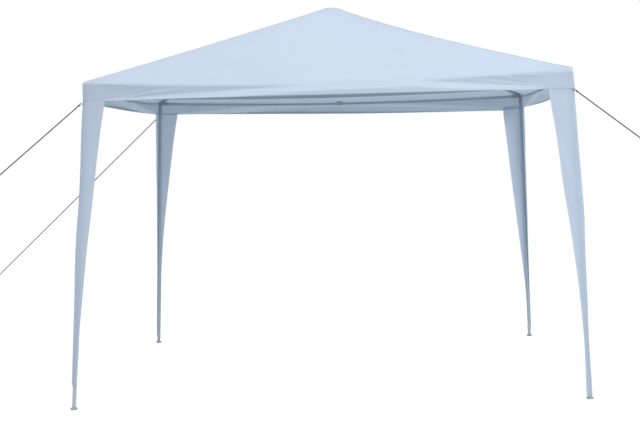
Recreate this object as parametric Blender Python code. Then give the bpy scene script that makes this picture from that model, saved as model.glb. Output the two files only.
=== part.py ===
"""A party canopy tent: four splayed legs, four eave tubes that sag a little and four rafters carry a
peaked fabric roof with a valance, leg covers and three guy ropes on ground pegs.

Metres, +Z up. The origin is on the ground in the middle, +X is to the right and +Y to the back.
"""

import math

import bmesh
import bpy
from mathutils import Matrix, Vector

# Fabric
EAVE_HALF = 1.5  # from the middle to the fabric's outer face at the eaves
EAVE_Z = 2.005  # the fabric's corners, without the rise of each
PEAK_Z = 2.577  # the top of the fabric, over the hub
PLATEAU_HALF = 0.028  # half the width of the flat spot over the hub
FABRIC = 0.003
VALANCE_BULGE = 0.050  # how far the valance bulges out in the middle of a side
BULGE_WAVE = 0.72 * math.pi  # the part of a sine wave that the bulge follows from the fold to the hem
BULGE_FADE = 1.5  # how fast the bulge dies away towards the corners, as a power
PANEL_BELLY = 0.020  # how far a roof panel hangs below the straight line between its rafters
SEAM_GAP = 0.0003  # between pieces that are sewn or pushed together

# Frame
FRAME_HALF = 1.478  # from the middle to the centre of a corner connector
FRAME_Z = 1.990  # the connectors, without the rise of each
RAFTER_LIFT = 0.004  # a rafter leaves its connector this far above the centre
HUB_Z = 2.5685  # where the rafters' axes would meet
EAVE_TUBE_R = 0.0100
RAFTER_R = 0.0090
LEG_UPPER_R = 0.0110
LEG_LOWER_R = 0.0100
LEG_JOINT_Z = 0.98  # the lower leg goes into the upper leg here
LEG_OVERLAP = 0.045
SLEEVE_R = 0.0125  # the sleeve that joins the two halves of an eave tube
SLEEVE_LENGTH = 0.060
FIT = 0.0003  # clearance all round a tube in its socket
SOCKET_WALL = 0.0016
SOCKET_START = 0.020  # a socket's floor, from the connector's centre
SOCKET_END = 0.066
RAFTER_SOCKET_START = 0.034
RAFTER_SOCKET_END = 0.078
ARM_STAGGER = 0.001  # keeps the ends of a connector's arms out of one plane
BORE_OVERRUN = 0.010  # how far a bore's cutter reaches out of the socket

# Peak hub
HUB_RADIUS = 0.034
HUB_CAP_RADIUS = 0.026
HUB_BOTTOM = 2.535
HUB_TOP = PEAK_Z - FABRIC - 0.0005  # just under the fabric
HUB_LOWER_BEVEL = 0.006
HUB_UPPER_BEVEL = 0.0045
HUB_SOCKET_ROOT = 0.026  # inside the drum
HUB_SOCKET_START = 0.037
HUB_SOCKET_END = 0.078

# Feet
FOOT_R = 0.0215
FOOT_RIM = 0.004
FOOT_NECK_R = 0.0145
FOOT_NECK_Z = 0.010
FOOT_NECK_TAPER = 0.001
FOOT_FLOOR = 0.006
FOOT_TOP = 0.030

# Leg covers
COVER_OFFSET = LEG_UPPER_R + 0.001 + FABRIC  # from a leg's axis to its cover's outer faces
LOOP_R = 0.014  # the webbing loop that a guy rope is tied to
LOOP_SINK = 0.004  # how far the loop's middle line goes into the cover's corner
LOOP_THICK = 0.0022  # half the webbing's thickness
LOOP_BREADTH = 0.0040  # half its width

# Guy ropes and pegs
ROPE_R = 0.0023
PEG_R = 0.0035
PEG_LEAN = math.radians(15)
PEG_STRAIGHT = 0.050
PEG_HOOK_R = 0.011
PEG_TIP = 0.014  # how far the hook's end comes down
ROPE_SEAT = 0.0005  # between a rope's upper end and the webbing loop
ROPE_LOOP_Z = 0.020  # where a rope goes round its peg
ROPE_LOOP_PITCH = 0.0055
ROPE_LOOP_TURN = math.radians(300)
ROPE_SLACK = 0.0015  # between a rope and the peg inside its turn

# How finely round and curved things are divided
SIDES_ROUND = 16
SIDES_PEG = 12
SIDES_ROPE = 8
SIDES_FOOT = 24
SIDES_HUB = 32
LOOP_STEPS = 16
LOOP_SIDES = 8
ROOF_COLUMNS = 12
ROOF_HEIGHTS = (0, 0.02, 0.10, 0.25, 0.42, 0.60, 0.80, 1)
VALANCE_COLUMNS = 14
VALANCE_ROWS = 6
HALF_EAVE_STEPS = 6
RAFTER_STEPS = 10
HOOK_STEPS = 7
ROPE_TURN_STEPS = 12
TINY = 1e-3  # the step that a direction is measured over

# The corners in order round the tent, anticlockwise from above. Side k runs from corner k to corner k + 1.
CORNERS = ("front_left", "front_right", "back_right", "back_left")
SIGNS = {"front_left": (-1, -1), "front_right": (1, -1), "back_right": (1, 1), "back_left": (-1, 1)}
SIDES = ("front", "right", "back", "left")

# How much higher or lower than the others each corner of the frame and roof stands.
CORNER_RISE = {"front_left": 0, "front_right": 0.008, "back_right": -0.014, "back_left": 0.002}

# How far the middle of each eave tube and of each hip hangs below a straight line.
EAVE_SAG = {"front": 0.050, "right": 0.032, "back": 0.031, "left": 0.036}
HIP_SAG = {"front_left": 0.006, "front_right": 0.0275, "back_right": 0.016, "back_left": 0.010}
HIP_SKEW = {"front_left": 0, "front_right": 0.8, "back_right": 0, "back_left": 0}  # more towards the peak

# The height of the valance's lower edge at each corner, and how far it hangs in the middle of each side.
HEM_Z = {"front_left": 1.890, "front_right": 1.890, "back_right": 1.883, "back_left": 1.903}
HEM_SAG = {"front": 0.014, "right": 0.014, "back": 0.016, "left": 0.008}

# How far each foot stands outside its connector, to the side and to the front or back.
FOOT_SPREAD = {
    "front_left": (0.112, 0.124),
    "front_right": (0.085, 0.053),
    "back_right": (0.046, 0.076),
    "back_left": (0.085, 0.099),
}

LOOP_Z = {"front_left": 1.872, "front_right": 1.873, "back_right": 1.865, "back_left": 1.873}

# The width of each arm of a leg cover at several heights, from the hem down to its lower end.
COVER_OUTLINE = {
    "front_left": ((1.8893, 0.140), (1.65, 0.115), (1.29, 0.088), (0.80, 0.057), (0.50, 0.037), (0.15, 0.031)),
    "front_right": ((1.8890, 0.149), (1.57, 0.120), (1.20, 0.090), (0.84, 0.060), (0.47, 0.036), (0.035, 0.033)),
    "back_right": ((1.8823, 0.160), (1.63, 0.138), (1.30, 0.110), (0.97, 0.080), (0.40, 0.030), (0.10, 0.027)),
    "back_left": ((1.9013, 0.162), (1.76, 0.134), (1.26, 0.080), (0.93, 0.048), (0.60, 0.030), (0.12, 0.027)),
}

# Where the three pegs stand. The ropes pull to the side and a little to the front or back.
PEG_PLACES = {
    "front_left": (-3.485, -2.550),
    "back_left": (-3.688, 2.550),
    "front_right": (3.688, -2.550),
}


def make_material(name, colour, roughness, metallic):
    material = bpy.data.materials.new(name)
    material.use_nodes = True
    shader = material.node_tree.nodes["Principled BSDF"]
    shader.inputs["Base Color"].default_value = (*colour, 1)
    shader.inputs["Roughness"].default_value = roughness
    shader.inputs["Metallic"].default_value = metallic
    return material


def mesh_object(name, vertices, faces, material):
    """An object from points and faces, with its faces turned outwards."""
    mesh = bpy.data.meshes.new(name)
    mesh.from_pydata([tuple(v) for v in vertices], [], faces)
    work = bmesh.new()
    work.from_mesh(mesh)
    bmesh.ops.remove_doubles(work, verts=work.verts, dist=1e-6)
    bmesh.ops.recalc_face_normals(work, faces=work.faces)
    work.to_mesh(mesh)
    work.free()
    mesh.shade_smooth()
    mesh.set_sharp_from_angle(angle=math.radians(40))
    mesh.materials.append(material)
    made = bpy.data.objects.new(name, mesh)
    bpy.context.collection.objects.link(made)
    return made


def swept(name, stations, material, sides=SIDES_ROUND, reference=Vector((0, 0, 1))):
    """A round solid through stations of (centre, normal, radius), closed at both ends.

    A later station may lie inside an earlier one, which makes a bore.
    """
    vertices = []
    for centre, normal, radius in stations:
        across = reference.cross(normal).normalized()
        up = Vector(normal).cross(across).normalized()
        for k in range(sides):
            angle = 2 * math.pi * k / sides
            vertices.append(Vector(centre) + radius * (math.cos(angle) * across + math.sin(angle) * up))
    faces = []
    for i in range(len(stations) - 1):
        for k in range(sides):
            a = i * sides + k
            b = i * sides + (k + 1) % sides
            faces.append((a, b, b + sides, a + sides))
    last = (len(stations) - 1) * sides
    faces.append(tuple(range(sides)))
    faces.append(tuple(range(last, last + sides)))
    return mesh_object(name, vertices, faces, material)


def sheet(name, outer, inner, material):
    """A thin closed solid between two grids of points, which have the same rows and columns."""
    rows, columns = len(outer), len(outer[0])
    vertices = [p for row in outer for p in row] + [p for row in inner for p in row]
    under = rows * columns

    def at(i, j):
        return i * columns + j

    faces = []
    for i in range(rows - 1):
        for j in range(columns - 1):
            quad = (at(i, j), at(i, j + 1), at(i + 1, j + 1), at(i + 1, j))
            faces.append(quad)
            faces.append(tuple(under + k for k in reversed(quad)))
    border = [at(0, j) for j in range(columns)]
    border += [at(i, columns - 1) for i in range(1, rows)]
    border += [at(rows - 1, j) for j in range(columns - 2, -1, -1)]
    border += [at(i, 0) for i in range(rows - 2, 0, -1)]
    for k, a in enumerate(border):
        b = border[(k + 1) % len(border)]
        faces.append((a, under + a, under + b, b))
    return mesh_object(name, vertices, faces, material)


def apply_boolean(body, tools, operation):
    """Joins the tools to the body, or cuts them out of it, and removes them."""
    for tool in tools:
        modifier = body.modifiers.new(tool.name, "BOOLEAN")
        modifier.operation = operation
        modifier.object = tool
        modifier.solver = "EXACT"
    depsgraph = bpy.context.evaluated_depsgraph_get()
    mesh = bpy.data.meshes.new_from_object(body.evaluated_get(depsgraph))
    body.modifiers.clear()
    old = body.data
    mesh.name = old.name
    body.data = mesh
    bpy.data.meshes.remove(old)
    for tool in tools:
        tool_mesh = tool.data
        bpy.data.objects.remove(tool)
        bpy.data.meshes.remove(tool_mesh)


# The lines that the frame follows


def connector_centre(corner):
    sx, sy = SIGNS[corner]
    return Vector((sx * FRAME_HALF, sy * FRAME_HALF, FRAME_Z + CORNER_RISE[corner]))


def foot_centre(corner):
    sx, sy = SIGNS[corner]
    across, along = FOOT_SPREAD[corner]
    return Vector((sx * (FRAME_HALF + across), sy * (FRAME_HALF + along), 0))


def leg_point(corner, z):
    top = connector_centre(corner)
    return foot_centre(corner).lerp(top, z / top.z)


def eave_point(side, t):
    k = SIDES.index(side)
    start = connector_centre(CORNERS[k])
    end = connector_centre(CORNERS[(k + 1) % 4])
    return start.lerp(end, t) - Vector((0, 0, 4 * EAVE_SAG[side] * t * (1 - t)))


def hip_drop(corner, t):
    """How far a hip and its rafter hang below a straight line; t runs from 0 at the eave to 1 at the hub."""
    return 4 * HIP_SAG[corner] * t * (1 - t) * (1 + HIP_SKEW[corner] * (t - 0.5))


def rafter_point(corner, t):
    start = connector_centre(corner) + Vector((0, 0, RAFTER_LIFT))
    end = Vector((0, 0, HUB_Z))
    return start.lerp(end, t) - Vector((0, 0, hip_drop(corner, t)))


def direction(path, name, t, towards):
    """The way that a path runs at one of its ends, outwards from the connector there."""
    return (path(name, t + towards * TINY) - path(name, t)).normalized()


def share(path, name, t, towards, distance):
    """How much of a path's parameter a short distance from one of its ends takes."""
    return TINY * distance / (path(name, t + towards * TINY) - path(name, t)).length


def tangent(path, name, t):
    """The way that a path runs at any point, from its start to its end."""
    return (path(name, t + TINY) - path(name, t - TINY)).normalized()


# The fabric, drawn for the front side and turned into place


def mix_ends(u, left, right):
    """Mixes the values at a side's two corners; u runs from -1 to 1 along the side."""
    return left + (right - left) * (u + 1) / 2


def ends(side):
    """The two corners that a side runs between."""
    k = SIDES.index(side)
    return CORNERS[k], CORNERS[(k + 1) % 4]


def eave_z(side, u):
    """The height of a straight eave between its two corners."""
    left, right = ends(side)
    return EAVE_Z + mix_ends(u, CORNER_RISE[left], CORNER_RISE[right])


def fold_z(side, u):
    """The height of the fold between roof and valance."""
    return eave_z(side, u) - EAVE_SAG[side] * (1 - u * u)


def roof_z(side, u, v):
    """The roof's outer face; v runs from 0 at the fold to 1 at the flat spot over the hub."""
    left, right = ends(side)
    low = eave_z(side, u)
    hip = mix_ends(u, hip_drop(left, v), hip_drop(right, v))
    sag = EAVE_SAG[side] * (1 - u * u) * (1 - v) ** 2
    belly = PANEL_BELLY * (1 - u * u) * 4 * v * (1 - v)
    return low + (PEAK_Z - low) * v - hip - sag - belly


def valance_profile(side, u, s):
    """How far out and how high the valance's outer face is; s runs from 0 at the fold to 1 at the hem."""
    middle = 1 - u * u
    left, right = ends(side)
    top = fold_z(side, u) - FABRIC - 2 * SEAM_GAP
    hem = mix_ends(u, HEM_Z[left], HEM_Z[right]) - HEM_SAG[side] * middle ** 3
    out = VALANCE_BULGE * middle ** BULGE_FADE * math.sin(BULGE_WAVE * s)
    return out, top + (hem - top) * s


def turned(side, rows):
    """Turns a grid of points from the front to its own side."""
    turn = Matrix.Rotation(SIDES.index(side) * math.pi / 2, 3, "Z")
    return [[turn @ point for point in row] for row in rows]


def make_roof_panel(side, material):
    columns = [-1 + 2 * j / ROOF_COLUMNS for j in range(ROOF_COLUMNS + 1)]
    outer, inner = [], []
    for v in ROOF_HEIGHTS:
        half = EAVE_HALF + (PLATEAU_HALF - EAVE_HALF) * v
        row = [Vector((u * (half - SEAM_GAP), -half, roof_z(side, u, v))) for u in columns]
        outer.append(row)
        inner.append([p - Vector((0, 0, FABRIC)) for p in row])
    tip = Vector((0, -SEAM_GAP, PEAK_Z))
    outer.append([tip] * len(columns))
    inner.append([tip - Vector((0, 0, FABRIC))] * len(columns))
    return sheet("roof_panel_" + side, turned(side, outer), turned(side, inner), material)


def make_valance(side, material):
    columns = [-1 + 2 * j / VALANCE_COLUMNS for j in range(VALANCE_COLUMNS + 1)]
    rows = [i / VALANCE_ROWS for i in range(VALANCE_ROWS + 1)]
    outer, inner = [], []
    for s in rows:
        outer_row, inner_row = [], []
        for u in columns:
            out, z = valance_profile(side, u, s)
            next_out, next_z = valance_profile(side, u, s + TINY)
            slope = math.hypot(next_out - out, next_z - z)
            inward_y = -(next_z - z) / slope * FABRIC
            inward_z = -(next_out - out) / slope * FABRIC if 0 < s < 1 else 0
            outer_row.append(Vector((u * (EAVE_HALF - SEAM_GAP), -EAVE_HALF - out, z)))
            inner_x = u * (EAVE_HALF - FABRIC - SEAM_GAP)
            inner_row.append(Vector((inner_x, -EAVE_HALF - out + inward_y, z + inward_z)))
        outer.append(outer_row)
        inner.append(inner_row)
    return sheet("valance_" + side, turned(side, outer), turned(side, inner), material)


def make_leg_cover(corner, material):
    """Two tapered arms that meet at the leg's outer corner, with the webbing loop sewn on at the top."""
    sx, sy = SIGNS[corner]
    vertices, faces = [], []
    for z, width in COVER_OUTLINE[corner]:
        point = leg_point(corner, z) + Vector((sx * COVER_OFFSET, sy * COVER_OFFSET, 0))
        for along_x, along_y in (
            (0, 0),
            (width, 0),
            (width, FABRIC),
            (FABRIC, FABRIC),
            (FABRIC, width),
            (0, width),
        ):
            vertices.append(point - Vector((sx * along_x, sy * along_y, 0)))
    levels = len(COVER_OUTLINE[corner])
    for i in range(levels - 1):
        for k in range(6):
            a = 6 * i + k
            b = 6 * i + (k + 1) % 6
            faces.append((a, b, b + 6, a + 6))
    faces.append(tuple(range(6)))
    faces.append(tuple(range(6 * (levels - 1), 6 * levels)))
    cover = mesh_object("leg_cover_" + corner, vertices, faces, material)
    apply_boolean(cover, [make_loop(corner, material)], "UNION")
    return cover


def loop_centre(corner):
    sx, sy = SIGNS[corner]
    reach = COVER_OFFSET + (LOOP_R - LOOP_SINK) / math.sqrt(2)
    return leg_point(corner, LOOP_Z[corner]) + Vector((sx * reach, sy * reach, 0))


def make_loop(corner, material):
    """The webbing loop, a ring that stands upright and points along its rope."""
    outwards = rope_heading(corner)
    up = Vector((0, 0, 1))
    axis = up.cross(outwards)
    centre = loop_centre(corner)
    vertices, faces = [], []
    for i in range(LOOP_STEPS):
        around = 2 * math.pi * i / LOOP_STEPS
        spoke = math.cos(around) * outwards + math.sin(around) * up
        for k in range(LOOP_SIDES):
            angle = 2 * math.pi * k / LOOP_SIDES
            radial = LOOP_R + LOOP_THICK * math.cos(angle)
            vertices.append(centre + radial * spoke + LOOP_BREADTH * math.sin(angle) * axis)
    for i in range(LOOP_STEPS):
        for k in range(LOOP_SIDES):
            a = i * LOOP_SIDES + k
            b = i * LOOP_SIDES + (k + 1) % LOOP_SIDES
            c = (i + 1) % LOOP_STEPS * LOOP_SIDES + k
            d = (i + 1) % LOOP_STEPS * LOOP_SIDES + (k + 1) % LOOP_SIDES
            faces.append((a, b, d, c))
    return mesh_object("loop_" + corner, vertices, faces, material)


# The frame


def make_legs(corner, material):
    """The upper tube, with the bore that the lower one goes into, and the lower tube."""
    along = (connector_centre(corner) - foot_centre(corner)).normalized()
    level = Vector((0, 0, 1))
    bore = LEG_LOWER_R + FIT
    bore_floor = LEG_JOINT_Z + LEG_OVERLAP
    upper = [
        (connector_centre(corner).z - (SOCKET_START + SEAM_GAP) * along.z, along, LEG_UPPER_R),
        (LEG_JOINT_Z, along, LEG_UPPER_R),
        (LEG_JOINT_Z, along, bore),
        (bore_floor, along, bore),
    ]
    lower = [
        (bore_floor - SEAM_GAP, along, LEG_LOWER_R),
        (FOOT_FLOOR + SEAM_GAP, level, LEG_LOWER_R),
    ]
    for name, profile in (("leg_upper_", upper), ("leg_lower_", lower)):
        stations = [(leg_point(corner, z), normal, radius) for z, normal, radius in profile]
        swept(name + corner, stations, material, reference=Vector((1, 0, 0)))


def make_foot(corner, material):
    """A flared plastic foot with a socket for the leg."""
    bore = LEG_LOWER_R + FIT
    profile = (
        (0, FOOT_R),
        (FOOT_RIM, FOOT_R),
        (FOOT_NECK_Z, FOOT_NECK_R),
        (FOOT_TOP, FOOT_NECK_R - FOOT_NECK_TAPER),
        (FOOT_TOP, bore),
        (FOOT_FLOOR, bore),
    )
    stations = [(leg_point(corner, z), Vector((0, 0, 1)), radius) for z, radius in profile]
    return swept("foot_" + corner, stations, material, sides=SIDES_FOOT, reference=Vector((1, 0, 0)))


def arm_stations(start, heading, near, far, radius):
    return [(start + near * heading, heading, radius), (start + far * heading, heading, radius)]


def make_corner_connector(corner, material):
    """A cast corner piece with four sockets: for the leg, two eave tubes and the rafter."""
    k = CORNERS.index(corner)
    centre = connector_centre(corner)
    lifted = centre + Vector((0, 0, RAFTER_LIFT))
    leg = (foot_centre(corner) - centre).normalized()
    leaving = direction(eave_point, SIDES[k], 0, 1)
    arriving = direction(eave_point, SIDES[k - 1], 1, -1)
    rising = direction(rafter_point, corner, 0, 1)
    arms = (
        (centre, leg, LEG_UPPER_R, SOCKET_START, SOCKET_END),
        (centre, leaving, EAVE_TUBE_R, SOCKET_START, SOCKET_END),
        (centre, arriving, EAVE_TUBE_R, SOCKET_START, SOCKET_END),
        (lifted, rising, RAFTER_R, RAFTER_SOCKET_START, RAFTER_SOCKET_END),
    )
    bodies, bores = [], []
    for number, (start, heading, tube, near, far) in enumerate(arms):
        reference = Vector((1, 0, 0)) if abs(heading.z) > 0.9 else Vector((0, 0, 1))
        outside = arm_stations(start, heading, -ARM_STAGGER * number, far, tube + FIT + SOCKET_WALL)
        inside = arm_stations(start, heading, near, far + BORE_OVERRUN, tube + FIT)
        bodies.append(swept(f"arm_{number}", outside, material, reference=reference))
        bores.append(swept(f"bore_{number}", inside, material, reference=reference))
    body = bodies[0]
    body.name = "corner_connector_" + corner
    apply_boolean(body, bodies[1:], "UNION")
    apply_boolean(body, bores, "DIFFERENCE")
    return body


def make_eave_tube(side, material):
    """Two tubes and the sleeve that joins them in the middle, bent down along the eave."""
    inset = share(eave_point, side, 0, 1, SOCKET_START + SEAM_GAP)
    mouth = share(eave_point, side, 0, 1, SOCKET_END)
    half_sleeve = SLEEVE_LENGTH / 2 / (2 * FRAME_HALF)
    open_run = 0.5 - half_sleeve - mouth
    run = [inset] + [mouth + open_run * i / HALF_EAVE_STEPS for i in range(HALF_EAVE_STEPS + 1)]
    profile = [(t, EAVE_TUBE_R) for t in run]
    profile += [(0.5 - half_sleeve, SLEEVE_R), (0.5, SLEEVE_R), (0.5 + half_sleeve, SLEEVE_R)]
    profile += [(1 - t, EAVE_TUBE_R) for t in reversed(run)]
    stations = [(eave_point(side, t), tangent(eave_point, side, t), radius) for t, radius in profile]
    return swept("eave_tube_" + side, stations, material)


def make_rafter(corner, material):
    low = share(rafter_point, corner, 0, 1, RAFTER_SOCKET_START + SEAM_GAP)
    low_mouth = share(rafter_point, corner, 0, 1, RAFTER_SOCKET_END)
    high_mouth = 1 - share(rafter_point, corner, 1, -1, HUB_SOCKET_END)
    high = 1 - share(rafter_point, corner, 1, -1, HUB_SOCKET_START + SEAM_GAP)
    open_run = high_mouth - low_mouth
    places = [low] + [low_mouth + open_run * i / RAFTER_STEPS for i in range(RAFTER_STEPS + 1)] + [high]
    stations = [(rafter_point(corner, t), tangent(rafter_point, corner, t), RAFTER_R) for t in places]
    return swept("rafter_" + corner, stations, material)


def make_peak_hub(material):
    """The hub under the peak: a drum with a bevelled cap, and a socket for each rafter."""
    profile = (
        (HUB_BOTTOM, HUB_CAP_RADIUS),
        (HUB_BOTTOM + HUB_LOWER_BEVEL, HUB_RADIUS),
        (HUB_TOP - HUB_UPPER_BEVEL, HUB_RADIUS),
        (HUB_TOP, HUB_CAP_RADIUS),
    )
    stations = [(Vector((0, 0, z)), Vector((0, 0, 1)), radius) for z, radius in profile]
    hub = swept("peak_hub", stations, material, sides=SIDES_HUB, reference=Vector((1, 0, 0)))
    bodies, bores = [], []
    for corner in CORNERS:
        centre = Vector((0, 0, HUB_Z))
        falling = direction(rafter_point, corner, 1, -1)
        outer_r = RAFTER_R + FIT + SOCKET_WALL
        outside = arm_stations(centre, falling, HUB_SOCKET_ROOT, HUB_SOCKET_END, outer_r)
        cut_end = HUB_SOCKET_END + BORE_OVERRUN
        inside = arm_stations(centre, falling, HUB_SOCKET_START, cut_end, RAFTER_R + FIT)
        bodies.append(swept("arm_" + corner, outside, material))
        bores.append(swept("bore_" + corner, inside, material))
    apply_boolean(hub, bodies, "UNION")
    apply_boolean(hub, bores, "DIFFERENCE")
    return hub


# Guy ropes and pegs


def peg_place(corner):
    x, y = PEG_PLACES[corner]
    return Vector((x, y, 0))


def rope_heading(corner):
    """The level direction from the tent's corner to the peg, or straight out where there is no rope."""
    if corner not in PEG_PLACES:
        return Vector((*SIGNS[corner], 0)).normalized()
    across = peg_place(corner) - loop_centre(corner)
    across.z = 0
    return across.normalized()


def make_peg(corner, material):
    """The part of a hooked steel peg above ground. It leans away from the tent."""
    away = rope_heading(corner)
    up = Vector((0, 0, 1))
    lean = math.cos(PEG_LEAN) * up + math.sin(PEG_LEAN) * away
    base = peg_place(corner)
    top = base + PEG_STRAIGHT * lean
    side = math.cos(PEG_LEAN) * away - math.sin(PEG_LEAN) * up
    bend_centre = top + PEG_HOOK_R * side
    stations = [(base, up, PEG_R), (top, lean, PEG_R)]
    for i in range(1, HOOK_STEPS + 1):
        angle = math.pi * i / HOOK_STEPS
        centre = bend_centre + PEG_HOOK_R * (math.sin(angle) * lean - math.cos(angle) * side)
        heading = math.cos(angle) * lean + math.sin(angle) * side
        stations.append((centre, heading, PEG_R))
    tip = stations[-1][0] - PEG_TIP * lean
    stations.append((tip, -lean, PEG_R))
    return swept("ground_peg_" + corner, stations, material, sides=SIDES_PEG, reference=up.cross(away))


def make_guy_rope(corner, material):
    """A taut rope from the webbing loop to the peg, with a turn round the peg."""
    away = rope_heading(corner)
    up = Vector((0, 0, 1))
    aside = up.cross(away)
    lean_shift = ROPE_LOOP_Z * math.tan(PEG_LEAN)
    turn_r = PEG_R + ROPE_R + ROPE_SLACK
    centre = peg_place(corner) + lean_shift * away + Vector((0, 0, ROPE_LOOP_Z))
    low_end = centre + turn_r * aside
    pull = (low_end - loop_centre(corner)).normalized()
    high_end = loop_centre(corner) + (LOOP_R + LOOP_THICK + ROPE_SEAT) * pull
    points = [high_end.lerp(low_end, t) for t in (0, 0.25, 0.5, 0.75, 0.97, 0.995, 1)]
    for i in range(1, ROPE_TURN_STEPS + 1):
        angle = ROPE_LOOP_TURN * i / ROPE_TURN_STEPS
        drop = ROPE_LOOP_PITCH * i / ROPE_TURN_STEPS
        spoke = math.cos(angle) * aside + math.sin(angle) * away
        points.append(centre + turn_r * spoke - Vector((0, 0, drop)))
    stations = []
    for i, point in enumerate(points):
        before = points[max(i - 1, 0)]
        after = points[min(i + 1, len(points) - 1)]
        stations.append((point, (after - before).normalized(), ROPE_R))
    return swept("guy_rope_" + corner, stations, material, sides=SIDES_ROPE)


def build():
    for old in list(bpy.data.objects):
        bpy.data.objects.remove(old)
    fabric = make_material("fabric", (0.62, 0.74, 0.90), 0.75, 0)
    steel = make_material("painted_steel", (0.62, 0.66, 0.68), 0.45, 0.2)
    plastic = make_material("grey_plastic", (0.42, 0.44, 0.45), 0.55, 0)
    rope = make_material("rope", (0.25, 0.26, 0.25), 0.85, 0)
    zinc = make_material("zinc_steel", (0.55, 0.56, 0.56), 0.4, 0.8)
    for side in SIDES:
        make_roof_panel(side, fabric)
        make_valance(side, fabric)
        make_eave_tube(side, steel)
    for corner in CORNERS:
        make_leg_cover(corner, fabric)
        make_corner_connector(corner, plastic)
        make_rafter(corner, steel)
        make_legs(corner, steel)
        make_foot(corner, plastic)
    make_peak_hub(plastic)
    for corner in PEG_PLACES:
        make_guy_rope(corner, rope)
        make_peg(corner, zinc)


build()
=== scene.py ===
# %% [markdown]
# # Dressing a party canopy tent
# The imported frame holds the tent's tubes, fittings and plain fabric solids at their real size. This
# lesson gives them their looks. One continuous canopy goes over the frame, tapered covers hang down
# the legs, and every tube, fitting, rope and peg gets its own shape and finish. The lesson goes
# from the outside in: first the view and the light, then the cloth, then the frame below it.

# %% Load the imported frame
import math

import bpy
from mathutils import Matrix, Vector, noise


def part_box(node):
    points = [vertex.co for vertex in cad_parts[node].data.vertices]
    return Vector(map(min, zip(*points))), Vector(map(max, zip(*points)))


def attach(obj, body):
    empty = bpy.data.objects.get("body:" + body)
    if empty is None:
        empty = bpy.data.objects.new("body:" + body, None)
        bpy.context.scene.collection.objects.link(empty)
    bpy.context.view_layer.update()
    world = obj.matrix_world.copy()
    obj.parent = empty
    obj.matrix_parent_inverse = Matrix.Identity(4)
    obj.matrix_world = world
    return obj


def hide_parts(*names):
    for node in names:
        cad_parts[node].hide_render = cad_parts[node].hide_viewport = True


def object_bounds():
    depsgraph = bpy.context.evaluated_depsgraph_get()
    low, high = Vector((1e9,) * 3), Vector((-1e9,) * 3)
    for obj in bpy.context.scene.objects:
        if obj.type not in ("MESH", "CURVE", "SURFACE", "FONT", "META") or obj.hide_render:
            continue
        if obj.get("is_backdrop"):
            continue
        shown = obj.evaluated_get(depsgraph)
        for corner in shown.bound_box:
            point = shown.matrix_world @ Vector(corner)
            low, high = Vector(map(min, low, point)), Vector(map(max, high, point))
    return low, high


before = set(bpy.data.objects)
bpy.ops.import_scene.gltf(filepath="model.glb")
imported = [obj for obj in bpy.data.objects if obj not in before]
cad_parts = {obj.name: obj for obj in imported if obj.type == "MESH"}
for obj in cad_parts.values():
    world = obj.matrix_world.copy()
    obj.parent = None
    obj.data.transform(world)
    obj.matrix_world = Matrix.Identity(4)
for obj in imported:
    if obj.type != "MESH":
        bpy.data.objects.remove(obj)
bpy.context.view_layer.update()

# %% [markdown]
# ## The view
# The photograph looks at the front of the tent from ten metres away, half a metre below the eaves
# and a little to the right of the middle. It was taken with a long lens and tilted by one and a
# half degrees. The camera's three axes are worked out from those angles, so that the picture can be
# matched edge by edge.

# %% The camera
CAMERA_PLACE = Vector((0.3076, -10.130, 1.4816))
CAMERA_LEFT_TURN = math.radians(2.408)
CAMERA_DOWN_TILT = math.radians(2.003)
CAMERA_ROLL = math.radians(-1.414)
LENS = 79.36  # millimetres, on a sensor 36 mm wide

level = Vector((math.cos(CAMERA_LEFT_TURN), math.sin(CAMERA_LEFT_TURN), 0))
ahead = Vector((-math.sin(CAMERA_LEFT_TURN), math.cos(CAMERA_LEFT_TURN), 0)) * math.cos(CAMERA_DOWN_TILT)
ahead.z = -math.sin(CAMERA_DOWN_TILT)
upright = level.cross(ahead)
across = math.cos(CAMERA_ROLL) * level + math.sin(CAMERA_ROLL) * upright
upwards = -math.sin(CAMERA_ROLL) * level + math.cos(CAMERA_ROLL) * upright

bpy.ops.object.camera_add(location=CAMERA_PLACE)
camera = bpy.context.object
camera.data.lens = LENS
camera.rotation_euler = Matrix((across, upwards, -ahead)).transposed().to_euler()
bpy.context.scene.camera = camera
print("the camera looks along", [round(x, 3) for x in ahead])

# %% [markdown]
# ## The light
# The tent stands in soft, even light from the whole sky, on ground that sends back little. So what
# faces up is brightest, what faces the viewer is two thirds as bright, and what faces down is dark.
# The world is that sky. The floor and the background are seen as nearly white, but they light the
# tent only as much as pale ground would, which a Light Path node keeps apart. A large lamp overhead
# brightens the roof, and one at the front right adds the slight rise in brightness towards that
# side.

# %% World, floor and lamps
SKY_LIGHT = 1.16
SKY_COLOUR = (1, 0.995, 0.985, 1)
FLOOR_SIZE = 80
GROUND_COLOUR = (0.39, 0.38, 0.37, 1)  # what the tent gets its light back from
FLOOR_PAINT = (0.12, 0.12, 0.12, 1)
FLOOR_GLOW = 0.90
WHITE = (1, 1, 1, 1)
LAMPS = (  # place, size in metres and watts
    ((1.0, -1.5, 9.5), 7.0, 176),
    ((5.5, -6.5, 4.5), 4.0, 269),
)
LAMP_AIM = Vector((0, 0, 1.6))

scene = bpy.context.scene
scene.view_settings.view_transform = "Standard"


def add_node(tree, kind, inputs=None, **settings):
    """A node with its settings, and with its inputs given as values or as sockets to link."""
    made = tree.nodes.new(kind)
    for name, value in settings.items():
        setattr(made, name, value)
    for name, value in (inputs or {}).items():
        socket = made.inputs[name]
        if isinstance(value, bpy.types.NodeSocket):
            tree.links.new(value, socket)
        else:
            socket.default_value = value
    return made


def new_tree(block):
    """The block's own node tree, emptied."""
    block.use_nodes = True
    block.node_tree.nodes.clear()
    return block.node_tree


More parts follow.
